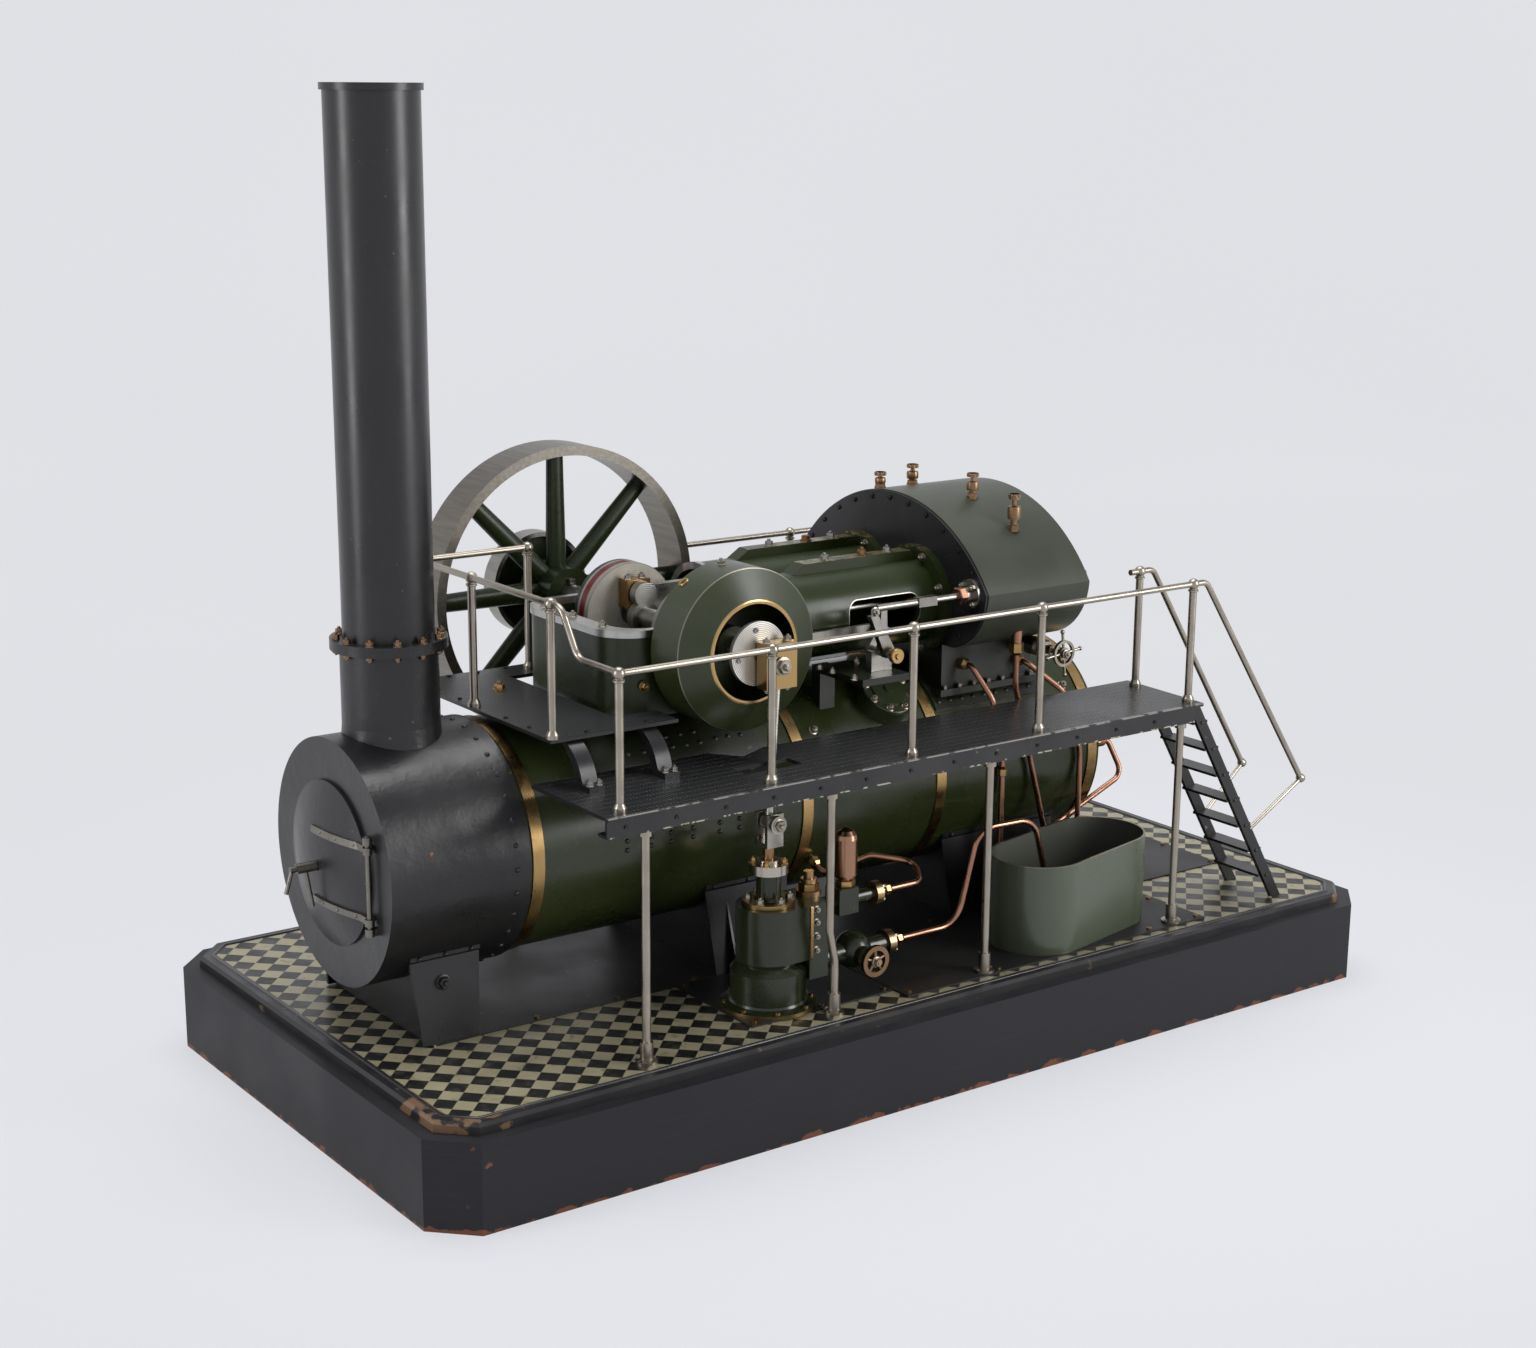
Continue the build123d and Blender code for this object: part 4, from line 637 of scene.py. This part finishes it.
# The turned disc in the drum's mouth is painted pale and only partly metallic: a painted reflection
# that keeps it bright in its shade. Its lathe rings are real.
pump_face = shaft.between(from_shaft, 0.006, 0.0268)
pump_face = shaft.both(shaft.under("Y", -0.1372), pump_face)
faced_painted_reflection = shaft.step(tool_rings, -0.4, 0.9)
faced_painted_reflection = shaft.mix(faced_painted_reflection, (0.4, 0.385, 0.355), (0.62, 0.6, 0.565))
shaft.cover(pump_face, faced_painted_reflection, 0.36, 0.75)
shaft.bump(tool_rings, 0.00005)
dress(shaft, "crankshaft")
steel = bright("steel", "bright_steel", (0.24, 0.225, 0.2), (0.385, 0.365, 0.33), 0.26, 0.62)
piece("pump_pin_nut", nuts((-133.03, -159, 366.3), near, 11, 4.5), nickel, "crankshaft")
disc_ring = ring_of(4, 20, (shaft_x, -142, shaft_z), "Y", 99)
piece("pump_disc_screws", screws(disc_ring, near, 2.2), steel, "crankshaft")
piece("shaft_end_nut", nuts((shaft_x, 229, shaft_z), far, 20, 4, False), steel, "crankshaft")


# Connecting rods. Steel rods with split brass big ends, each closed by two bolts.
# The crankpins stand at right angles, so the far rod lies 20 higher and further left.
def through_bolts(xs, y, middle_z, half):
    """Bolts that run up through a bearing, with a nut above and a head below."""
    above = [(x, y, middle_z + half) for x in xs]
    below = [(x, y, middle_z - half) for x in xs]
    return nuts(above, up, 5, 3.2) + nuts(below, down, 5, 2.4, False)


for side, y, pin_x, pin_z in (("near", -41, -125.5, 375), ("far", 41, -145.5, 395)):
    rod = side + "_connecting_rod"
    rod_steel = bright(
        rod + "_steel", None, (0.33, 0.32, 0.3), (0.5, 0.49, 0.465), 0.24, 0.62,
        stretch=(0.1, 1, 1),
    )
    low, high = 0.001 * (pin_x - 11.6), 0.001 * (pin_x + 11.7)
    big_end = rod_steel.between("X", low, high)
    rod_steel.cover(big_end, (0.42, 0.27, 0.105), 0.27, 1)
    dress(rod_steel, rod)
    piece(side + "_rod_bolts", through_bolts((pin_x - 7, pin_x + 7), y, pin_z, 12), steel, rod)
dress(steel, "near_eccentric_rod", "far_eccentric_rod")

# Flywheel and belt pulley. Green cast spokes and hub inside a rim left bare from the lathe,
# browned with oil; the narrow pulley for the belt sits beside it.
wheel = enamel(
    "wheel_paint", None, (0.011, 0.0175, 0.0045), (0.02, 0.03, 0.0085),
    rough=0.22, chips=0.78, depth=0.00004, specular=0.35,
)
wheel_reach = wheel.away(shaft_line, "Y")
turned_rim = wheel.noise(300, 3, (1, 0.05, 1))
turned_rim = wheel.mix(turned_rim, (0.12, 0.108, 0.09), (0.26, 0.242, 0.21))
wheel.cover(wheel.step(wheel_reach, 0.1232, 0.124), turned_rim, 0.36, 1)
dress(wheel, "flywheel")
pulley = enamel(
    "pulley_paint", None, (0.011, 0.017, 0.0045), (0.02, 0.028, 0.008),
    rough=0.24, chips=0.78, specular=0.4,
)
pulley_reach = pulley.away(shaft_line, "Y")
pulley_rim = pulley.noise(200, 3, (1, 0.1, 1))
pulley_rim = pulley.mix(pulley_rim, (0.2, 0.19, 0.17), (0.4, 0.385, 0.355))
pulley.cover(pulley.step(pulley_reach, 0.0436, 0.0442), pulley_rim, 0.34, 1)
dress(pulley, "belt_pulley")
key_section = [(-3, -2.2), (3, -2.2), (3, 2.2), (-3, 2.2)]
key_rise = [(-0.5, 1), (4, 1), (4.6, 0.9)]
key = carry(key_section, key_rise, (shaft_x, 147.9, 386.5), near)
piece("wheel_key", [key], steel, "crankshaft")

# Governor drum. A green spun drum with a brass ring let into its mouth, an oil hole with a
# brass collar and a set screw in its back rim.
drum = enamel(
    "drum_paint", None, (0.0175, 0.0245, 0.006), (0.029, 0.039, 0.011),
    rough=0.27, chips=0.8, depth=0.00004,
)
drum_reach = drum.away(shaft_line, "Y")
mouth = drum.between(drum_reach, 0.0395, 0.0432)
mouth = drum.both(mouth, drum.under("Y", -0.132))
drum.cover(mouth, (0.46, 0.31, 0.135), 0.26, 1)
front_line = drum.between("Y", -0.1249, -0.1242)
front_line = drum.both(front_line, drum.over(drum_reach, 0.0655))
drum.cover(front_line, (0.22, 0.21, 0.17), 0.34, 1)
dress(drum, "governor_drum")
drum_rim = 67
oil_way = np.array([-38, 0, 53])
oil_way = oil_way / np.linalg.norm(oil_way)
oil_place = (shaft_x, -92, shaft_z) + drum_rim * oil_way
collar = [(-1, 4.6), (1, 4.6), (1.5, 4.1), (1.5, 2.6), (0.4, 2.2), (0.4, 0.4)]
piece("drum_oil_collar", [lathe(collar, oil_place, oil_way, 20)], brass, "crankshaft")
screw_way = np.array([-0.085, 0, 0.996])
screw_place = (shaft_x, -97, shaft_z) + (drum_rim + 0.2) * screw_way
piece("drum_set_screw", nuts(screw_place, screw_way, 6, 3.2), nickel, "crankshaft")

# Trunk guides. Green castings with a rib along the top; the window edges, the rib and the
# flanges have worn to bright metal, and nuts hold them to the cylinders.
guide = enamel(
    "guide_paint", None, (0.0125, 0.019, 0.0038), (0.022, 0.032, 0.007),
    rough=0.24, chips=0.76, bare=(0.24, 0.17, 0.08), depth=0.00004, specular=0.35,
)
rib_top = guide.step("Z", 0.4204, 0.4212)
rib_wear = guide.step(guide.noise(120, 4), 0.46, 0.58)
guide.cover(guide.both(rib_top, rib_wear), (0.3, 0.22, 0.11), 0.34, 1)
dress(guide, "trunk_guides")
bore_y, bore_z, rib_z = 41, 375, 421
rib_bolts = [(x, y, rib_z) for y in (-bore_y, bore_y) for x in (-3, 66)]
piece("guide_rib_bolts", nuts(rib_bolts, up, 6.2, 4), steel)
piece("guide_rib_plugs", nuts((38, -bore_y, rib_z), up, 7, 4.6), dull_brass)
rusty = bright(
    "rusty", "bright_steel", (0.16, 0.075, 0.035), (0.3, 0.17, 0.09), 0.5, 0.5, 0.00008
)
plug_section = [(-2.8, -2.8), (2.8, -2.8), (2.8, 2.8), (-2.8, 2.8)]
plug_rise = [(-0.5, 1.35), (1.2, 1.35), (1.2, 1), (4.6, 1), (5, 0.88)]
square_plug = carry(plug_section, plug_rise, (38, bore_y, rib_z), up, 0.3)
piece("guide_square_plug", [square_plug], rusty)
flange_nuts = ring_of(8, 43.6, pair(93.5, bore_y, bore_z), "X", 22.5)
flange_nuts = flange_nuts[np.abs(flange_nuts[:, 1]) > 6]
piece("guide_flange_nuts", nuts(flange_nuts, front, 5.4, 3.6), nickel)
trunk_radius, window_x, window_half_long, window_half_high = 38, 35, 28, 4
t = np.linspace(0, 2 * np.pi, 49)[:-1]
corner_x = np.clip(360 * np.cos(t), -window_half_long, window_half_long)
corner_z = np.clip(360 * np.sin(t), -window_half_high, window_half_high)
window_rims = []
for side in (-1, 1):
    rings = []
    for grow, out in ((10.9, -1.5), (10.9, 0.35), (11.7, 0.35), (11.9, -0.5)):
        rim_x = window_x + corner_x + grow * np.cos(t)
        rim_z = corner_z + grow * np.sin(t)
        rim_y = bore_y + np.sqrt(trunk_radius**2 - rim_z**2) + out
        rings.append(np.stack((rim_x, side * rim_y, bore_z + rim_z), axis=1))
    rim_points, rim_faces = grid(np.array(rings)[None])
    window_rims.append((rim_points, [face[:: -side] for face in rim_faces]))
piece("guide_window_rims", window_rims, steel)
cross_steel = bright(
    "crosshead_metal", None, (0.34, 0.33, 0.3), (0.52, 0.5, 0.47), 0.24, 0.62
)
dress(cross_steel, "crossheads")

# Cylinder casing. Satin green cladding over lagging, screwed to a black front plate that
# carries the stuffing boxes; the back has two round covers with their studs.
casing = enamel(
    "casing_paint", None, (0.027, 0.0315, 0.019), (0.041, 0.0475, 0.03),
    rough=0.32, chips=0.82, bare=(0.05, 0.05, 0.04), depth=0.00003, specular=0.55,
)
casing.bump(casing.noise(11, 2), 0.0005)
dress(casing, "cylinder_casing")
front_x, back_x, crown_middle_z, screw_line = 101.5, 222, 304.5, 155.5
crown_turn = np.radians(np.arange(-48, 49, 9.6))
edge_y = np.concatenate((screw_line * np.sin(crown_turn), (-118, 118, -101, 101)))
crown_z = crown_middle_z + screw_line * np.cos(crown_turn)
edge_z = np.concatenate((crown_z, (372, 372, 351, 351)))
casing_edge = np.column_stack((0 * edge_y, edge_y, edge_z))
piece("casing_front_screws", screws(casing_edge + (front_x, 0, 0), front, 2.2), black_enamel)
piece("casing_back_screws", screws(casing_edge + (back_x, 0, 0), back, 2.2), steel)
bore_covers = pair(back_x, bore_y, bore_z)
cover_disc = [(-0.5, 36), (3.2, 36), (4, 35.2), (4, 26), (5.5, 24.5), (5.5, 0.5)]
piece("cylinder_covers", [lathe(cover_disc, bore_covers, back, 56)], casting_green)
cover_nuts = ring_of(10, 30.8, pair(back_x + 4, bore_y, bore_z), "X", 18)
piece("cylinder_cover_nuts", nuts(cover_nuts, back, 5.4, 3.6), nickel)
spindle_y, spindle_z = 116, 391
tail_disc = [(-0.5, 13), (3, 13), (3.6, 12.2), (3.6, 6.5), (8, 6.5), (8.6, 5.8), (8.6, 0.5)]
tail_covers = pair(back_x, spindle_y, spindle_z)
piece("tail_covers", [lathe(tail_disc, tail_covers, back, 32)], brass)
tail_nuts = ring_of(4, 10, pair(back_x + 3.4, spindle_y, spindle_z), "X", 45)
piece("tail_cover_nuts", nuts(tail_nuts, back, 4.2, 3, False), nickel)
saddle_paint = enamel(
    "saddle_paint", None, (0.0075, 0.0085, 0.005), (0.014, 0.015, 0.01),
    rough=0.32, chips=0.72, bare=(0.08, 0.06, 0.035), depth=0.00008, specular=0.45,
)
dress(saddle_paint, "cylinder_saddle")
saddle_flange = [(x, y, 296) for y in (-73.2, 73.2) for x in np.arange(110, 215, 17)]
piece("saddle_flange_bolts", nuts(saddle_flange, up, 4, 2.8, False), steel)
box_rise = [(-0.5, 20), (3.2, 20), (4, 19), (4, 12.5), (9, 12.5), (10, 11.5), (10, 4.6)]
rod_boxes = pair(front_x, bore_y, bore_z)
piece("piston_glands", [lathe(box_rise, rod_boxes, front, 40)], dull_brass)

# Lubricators. Aged bronze oil cups on the crown, with a hexagon at the foot and a milled cap.
# Each body swells between a third and two thirds of the cup's height.
dress(bronze, "lubricators")
crown_radius, mill_count = 162, 28
t = np.arange(mill_count) * 2 * np.pi / mill_count
mill = 1 + 0.045 * np.cos(np.arange(mill_count) * np.pi)
milled = np.stack((mill * np.cos(t), mill * np.sin(t)), axis=1)
hexagon_rise = [(-1.5, 5.4), (1, 5.4), (1.8, 4.9), (4.2, 4.6), (4.6, 4)]
for cup_name, x, y, high, wide in (
    ("short_cup", 122, 40, 15, 4.5), ("middle_cup", 160, 40, 19, 5),
    ("tall_cup", 162, -43, 22, 5), ("side_cup", 169, -92, 32, 5.5),
):
    foot = (x, y, crown_middle_z + math.sqrt(crown_radius**2 - y**2))
    cap_rise = [(high - 3.4, 4.6), (high - 3.2, 5.3), (high - 0.5, 5.3), (high, 4.8)]
    body_rise = [
        (high * 0.3 - 0.6, 3.2), (high * 0.3 + 0.6, wide + 0.4), (high * 0.36, wide + 0.5),
        (high * 0.58, wide + 0.5), (high * 0.63, wide + 0.2), (high * 0.68, 2.4),
    ]
    cup_parts = [
        carry(milled, cap_rise, foot, up),
        lathe(body_rise, foot, up, 28),
        lathe(hexagon_rise, foot, up, 6),
    ]
    piece(cup_name, cup_parts, bronze)

# Valve gear. Bright spindles through nickelled glands, driven by rocking levers on small
# stands that are bolted to the drum; the oil caps are milled brass.
dress(steel, "valve_spindles")
rocker = bright(
    "rocker_metal", None, (0.22, 0.21, 0.19), (0.4, 0.385, 0.355), 0.27, 0.58
)
rocker.cover(rocker.under("Z", 0.3322), (0.0125, 0.015, 0.0085), 0.3, 0)
dress(rocker, "valve_rockers")
gland_nuts = ring_of(4, 10.4, pair(97.5, spindle_y, spindle_z), "X", 45)
piece("valve_gland_nuts", nuts(gland_nuts, front, 4.6, 3.4, False), nickel)
packing_rise = [(-0.5, 8.2), (6, 8.2), (7, 7.4)]
packing_places = pair(91, spindle_y, spindle_z)
piece("valve_packing_nuts", [lathe(packing_rise, packing_places, front, 6)], copper)
rocker_x, outward = 10, [near, far]
piece("lever_pins", nuts(pair(rocker_x - 18, 119, 389), outward, 6, 3.4), steel)
cap_rise = [(-1, 6.2), (0.2, 6.8), (4.2, 6.8), (5, 6.2), (5, 3), (6.6, 2.6), (6.6, 0.4)]
piece("rocker_caps", [lathe(cap_rise, pair(rocker_x, 124, 350), outward, 24)], brass)
stand_bolts = ((-26, 66), (-26, 84), (14, 66), (14, 84), (-26, 115))
stand_bolts = [(x, side * y, 332) for side in (-1, 1) for x, y in stand_bolts]
piece("rocker_base_bolts", nuts(stand_bolts, up, 4.8, 3.2), nickel)

# Manhole. A turned cover on a short neck, held by dogs and nuts round its rim.
# The neck leans 40 degrees from upright toward the near side.
hole_lean = math.radians(40)
hole_out = np.array([0, -math.sin(hole_lean), math.cos(hole_lean)])
hole_start = np.array([46, 0, boiler_z])
lid = [(108.6, 25.2), (110.4, 25.2), (111, 24.4), (111, 17.8)]
lid += [(112.6, 16.6), (112.6, 5.2), (114.6, 4.4), (114.6, 0.4)]
piece("manhole_lid", [lathe(lid, hole_start, hole_out, 48)], casting_green)
across = np.cross(hole_out, back)
t = (math.radians(20) + np.arange(8) * math.pi / 4)[:, None]
lid_nuts = hole_start + 111 * hole_out + 21.3 * (np.cos(t) * back + np.sin(t) * across)
piece("manhole_nuts", nuts(lid_nuts, hole_out, 5, 3.4), nickel)

# Platforms. Pressed sheet with fine raised ribs, black enamelled, the outer edge worn bright
# and chipped to the primer, screwed to folded edges.
rib_pitch, row_pitch = 0.003, 0.0095
deck = enamel(
    "deck_enamel", None, (0.009, 0.009, 0.0095), (0.0155, 0.0155, 0.0157),
    rough=0.28, chips=0.71, bare=(0.13, 0.115, 0.085), depth=0.00004,
)
rib = deck.step(deck.wave("X", rib_pitch), -0.2, 0.6)
row = deck.step(deck.wave("Y", row_pitch), 0.86, 0.97)
low_top = deck.between("Z", 0.2869, 0.2872)
high_top = deck.between("Z", 0.3249, 0.3252)
tops = deck.math("MAXIMUM", low_top, high_top)
pressed = deck.both(deck.math("MAXIMUM", rib, row), tops)
deck.bump(pressed, 0.0009)
# Paler rib tops: painted highlight on the raised ribs.
deck.cover(deck.math("MULTIPLY", pressed, 0.85), (0.03, 0.031, 0.033), 0.3, 0)
from_middle = deck.math("ABSOLUTE", "Y")
top_line = deck.over(from_middle, 0.2122)
top_line = deck.both(top_line, deck.over("Z", 0.2858))
top_wear = deck.step(deck.noise(90, 4), 0.38, 0.5)
deck.cover(deck.both(top_line, top_wear), (0.34, 0.33, 0.3), 0.32, 1)
foot_line = deck.over(from_middle, 0.212)
foot_line = deck.both(foot_line, deck.under("Z", 0.2712))
foot_wear = deck.step(deck.noise(120, 4), 0.53, 0.57)
deck.cover(deck.both(foot_line, foot_wear), (0.36, 0.33, 0.25), 0.5, 0)
dress(deck, "near_platform", "far_platform", "upper_platform")
low_deck, high_deck, fascia_z = 287, 325, 277.5
near_edge = [(x, -213, fascia_z) for x in np.arange(-318, 280, 46)]
far_edge = [(x, 213, fascia_z) for x in np.arange(12, 284, 45)]
fascia_screws = screws(near_edge, near, 1.7) + screws(far_edge, far, 1.7)
piece("fascia_screws", fascia_screws, black_enamel)
bracket_bolts = [(x + dx, -146, 292) for x in (-304, -234) for dx in (-4.2, 4.2)]
piece("bracket_bolts", nuts(bracket_bolts, up, 4.6, 3.2), steel)
piece("deck_plug", nuts((-275.8, 49.4, high_deck), up, 8, 4.5), brass)
upper_screws = [(x, y, high_deck) for y in (-112, 112) for x in (-318, -290, -262, -234)]
upper_screws += [(-320, y, high_deck) for y in (-75, -38, 38, 75)]
piece("upper_deck_screws", screws(upper_screws, up, 1.9), black_enamel)

# Columns and rails. Nickelled rod screwed into turned collars, the posts capped with balls
# and each column's foot held down by two small screws.
dress(nickel, "near_railing", "far_railing", "platform_columns")
post_feet = [(x, -203, low_deck) for x in (-317, -176, -34, 105, 284)]
post_feet += [(x, 203, low_deck) for x in (2, 140, 284)] + [(286, -134, low_deck)]
post_feet += [(-322, y, high_deck) for y in (-114, 10, 100)] + [(-217, 100, high_deck)]
foot_rise = [(2.6, 5.2), (3.4, 5), (5.2, 4.2), (6.4, 3.5)]
neck_rise = [(100, 3.5), (100.6, 4.6), (102, 4.6), (102.6, 3.6)]
post_parts = [lathe(rise, post_feet, up, 20) for rise in (foot_rise, neck_rise)]
piece("post_collars", post_parts, nickel)
column_feet = ((-297.6, 84), (-114.5, 84), (47.4, 85.5), (271.2, 85.5))
foot_screws = [(x + dx, -208, z) for x, z in column_feet for dx in (-7.1, 7.1)]
piece("column_foot_screws", screws(foot_screws, up, 1.3), nickel)

# Ladder. Flat bar stringers and folded treads, black enamelled, with a riveted pin at each
# end of every tread; two nickelled stays join it to the sloping rails.
tread_enamel = enamel(
    "tread_enamel", "black_enamel", (0.006, 0.006, 0.0064), (0.011, 0.011, 0.011),
    rough=0.3, chips=0.7, bare=(0.16, 0.145, 0.11),
)
dress(tread_enamel, "ladder")
ladder_x, ladder_z, ladder_run, ladder_drop, treads = 289, 283.5, 120, 201.5, 7
tread_z = ladder_z - ladder_drop * (np.arange(1, treads + 1) - 0.35) / 7.5
tread_x = ladder_x + ladder_run * (ladder_z - tread_z) / ladder_drop
ladder_pins = [(x - 1, y, z) for y in (-208, -148) for x, z in zip(tread_x, tread_z)]
pin_out = [near] * treads + [(0, 1, 0)] * treads
piece("ladder_pins", rivets(ladder_pins, pin_out, 1.8), tread_enamel)
knob_rise = [(-4.6, 1.5), (-4, 3), (-2, 4.2), (1, 4.2), (3, 3), (3.6, 1.5)]
stay_parts = []
for start, end in (
    ((440, -203, 190.5), (369, -207, 154)),
    ((434, -134, 190.5), (369, -149, 154)),
):
    run = math.dist(start, end)
    stay_rise = [(-1.5, 1.6), (-1, 2), (run - 1, 2), (run, 1.7)]
    stay_parts.append(lathe(stay_rise, start, np.subtract(end, start), 14))
    stay_parts.append(lathe(knob_rise, start, (0.8, 0, -0.6), 18))
piece("rail_stays", stay_parts, nickel)

# Feed pump. A dark green casting with a flanged cover, a two-piece gland round the ram, and
# a chest jointed on through a brass strip; the air vessel is bronze.
pump_x, pump_y = -149, -163
ram_line = (0.001 * pump_x, 0.001 * pump_y, 0)
vessel_line = (-0.0696, 0.001 * pump_y, 0)
pump = enamel(
    "pump_paint", None, (0.01, 0.014, 0.0045), (0.0185, 0.024, 0.008),
    rough=0.2, chips=0.76, bare=(0.05, 0.05, 0.035),
)
brass_edge = pump.under(pump.away(ram_line, "Z"), 0.0224)
cover_edge = pump.between("Z", 0.1708, 0.1746)
pump.cover(pump.both(brass_edge, cover_edge), (0.3, 0.19, 0.075), 0.3, 1)
pump.cover(pump.under("Z", 0.0866), (0.26, 0.17, 0.075), 0.34, 1)
dress(pump, "pump_body")
fittings = bright(
    "pump_fitting_metal", None, (0.3, 0.19, 0.095), (0.46, 0.31, 0.17), 0.24, 0.62
)
ram_gland = fittings.under(fittings.away(ram_line, "Z"), 0.02)
ram_gland = fittings.both(fittings.over("Z", 0.197), ram_gland)
fittings.cover(ram_gland, (0.47, 0.43, 0.375), 0.24, 1)
air_vessel = fittings.under(fittings.away(vessel_line, "Z"), 0.0105)
fittings.cover(air_vessel, (0.36, 0.2, 0.13), 0.27, 1)
dress(fittings, "pump_fittings")
ram_metal = bright(
    "ram_metal", None, (0.34, 0.32, 0.28), (0.52, 0.49, 0.44), 0.22, 0.64, stretch=(1, 1, 0.1)
)
ram_metal.cover(ram_metal.under("Z", 0.2195), (0.3, 0.17, 0.085), 0.24, 1)
dress(ram_metal, "pump_ram")
for name, count, reach, z, across, high, start, metal in (
    ("pump_cover_nuts", 6, 17.2, 174.5, 5.6, 3.8, 30, nickel),
    ("pump_gland_nuts", 4, 12.8, 205.5, 4.8, 3.4, 45, brass),
):
    ring = ring_of(count, reach, (pump_x, pump_y, z), "Z", start)
    piece(name, nuts(ring, up, across, high), metal)
base_ring = ring_of(8, 36.8, (pump_x, pump_y, 87.3), "Z", 22)
piece("pump_base_screws", screws(base_ring, up, 2.1), brass)
strip_section = [(-1, -1.3), (1, -1.3), (1, 1.3), (-1, 1.3)]
strip_rise = [(0, 0.9), (0.3, 1), (43.7, 1), (44, 0.9)]
joint_strip = carry(strip_section, strip_rise, (-125, -190.2, 126), up)
piece("pump_joint_strip", [joint_strip], brass)
chest_bolts = [(-118.5, -188, z) for z in (131, 143, 155, 166)]
piece("pump_chest_bolts", nuts(chest_bolts, near, 4.6, 3), nickel)
for name, x, rise in (
    ("vessel_hexagon", -69.6, [(170.6, 7.8), (171, 8.4), (175.4, 8.4), (175.9, 7.8)]),
    ("valve_cap_hexagon", -108, [(174.4, 8), (174.8, 8.7), (180.4, 8.7), (181, 8)]),
):
    piece(name, [lathe(rise, (x, pump_y, 0), up, 6)], brass)
outlet_nuts = nuts(ring_of(4, 7.9, (-35, pump_y, 158.5), "X", 45), back, 3.6, 2.6, False)
inlet_nuts = nuts(ring_of(4, 8.6, (-21, pump_y, 111.5), "X", 45), back, 3.8, 2.8, False)
piece("pump_flange_nuts", outlet_nuts + inlet_nuts, nickel)
piece("fork_pin_nut", nuts((pump_x, -177, 240), near, 8, 3.2), nickel)
piece("suction_wheel_nut", nuts((-62, -197, 111.5), near, 6, 3), nickel, "suction_valve_wheel")
dress(bronze, "suction_valve_wheel")
rod_metal = bright(
    "pump_rod_metal", None, (0.34, 0.325, 0.29), (0.52, 0.5, 0.45), 0.22, 0.64,
    stretch=(1, 1, 0.1),
)
rod_metal.cover(rod_metal.over("Z", 0.3465), (0.4, 0.27, 0.115), 0.28, 1)
dress(rod_metal, "pump_rod")
pin_x, pin_z = -133.03, 366.3
head_bolts = through_bolts((pin_x - 10.5, pin_x + 10.5), -150.5, pin_z, 19)
piece("pump_rod_bolts", head_bolts, nickel, "pump_rod")

# Pipes. Drawn copper tube, soldered into brass unions with hexagon nuts.
# Each union is given by its place, its direction, and its size across and along.
dress(copper, "feed_pipes", "steam_pipes")
union_parts = []
for place, way, corner, high in (
    ((131, -70, 317), near, 5.6, 7), ((196, -70, 312), near, 5.6, 7),
    ((159, -111.9, 340), down, 6.6, 9), ((156, -101.5, 83.5), up, 5.2, 6),
    ((210, -102.5, 83.5), up, 5.2, 6), ((251, -101.5, 83.5), up, 5.2, 6),
    ((222, -92, 83.5), up, 5.2, 6), ((-28, -163, 158.5), back, 4.8, 5),
    ((-14, -163, 111.5), back, 4.8, 5), ((-46, -86, 168.4), (0, -0.86, -0.5), 5, 6),
    ((287, -80, 222), back, 7.2, 5), ((156, -101.5, 215), up, 4.8, 7),
):
    union_rise = [(0, corner * 0.9), (0.5, corner), (high - 0.5, corner), (high, corner * 0.9)]
    union_rise += [(high + 2, corner * 0.62), (high + 2.3, corner * 0.55)]
    union_parts.append(lathe(union_rise, place, way, 6))
piece("pipe_unions", union_parts, brass)

# Feed tank. Oval open tank of thin sheet, gloss green outside and dull grey green inside,
# with a wired and worn top edge.
tank = enamel(
    "tank_paint", None, (0.058, 0.071, 0.043), (0.076, 0.092, 0.058),
    rough=0.17, chips=0.8, bare=(0.1, 0.09, 0.06), depth=0.00002, specular=0.6,
)
tank_x, tank_y, tank_turn, straight_half = 0.1825, -0.1634, 12.5, 0.04625
local = tank.moved(tank.place, (-tank_x, -tank_y, 0))
local = tank.turned(local, -tank_turn)
local = tank.node("SeparateXYZ", {0: local}).outputs
past_straight = tank.math("ABSOLUTE", local["X"])
past_straight = tank.math("SUBTRACT", past_straight, straight_half)
past_straight = tank.math("MAXIMUM", past_straight, 0)
spine = tank.node("CombineXYZ", {"X": past_straight, "Y": local["Y"], "Z": 0}).outputs[0]
spine = tank.node("VectorMath", {0: spine}, operation="LENGTH").outputs["Value"]
inside = tank.under(spine, 0.042)
tank.cover(inside, (0.075, 0.08, 0.062), 0.5, 0)
tank.cover(tank.over("Z", 0.1636), (0.3, 0.27, 0.2), 0.34, 1)
dress(tank, "feed_tank")

# Stop valve. Nickelled body with hexagons for the spanner and a bright gland nut, worked by
# a wheel with four plain handles that end in balls.
dress(nickel, "stop_valve", "stop_valve_wheel")
valve_x, valve_z, handle_reach, handle_lean = 197, 329, 19.9, 6
body_hex = [(2.8, 8.6), (3.2, 9.4), (9.4, 9.4), (9.9, 8.6)]
gland_hex = [(33.6, 7.2), (34.1, 8), (39.4, 8), (40.2, 7.2)]
valve_parts = [lathe(r, (valve_x, -70, valve_z), near, 6) for r in (body_hex, gland_hex)]
piece("stop_valve_hexagons", valve_parts, nickel)
handle_ends = ring_of(4, handle_reach, (valve_x, -132.5, valve_z), "Y", handle_lean)
t = np.linspace(0.05, math.pi - 0.05, 8)
ball_rise = np.stack((-2.1 * np.cos(t), 2.1 * np.sin(t)), axis=1)
handle_balls = [lathe(ball_rise, handle_ends, near, 14)]
piece("stop_handle_balls", handle_balls, nickel, "stop_valve_wheel")
piece("stop_wheel_nut", nuts((valve_x, -136, valve_z), near, 6, 2.6), nickel, "stop_valve_wheel")
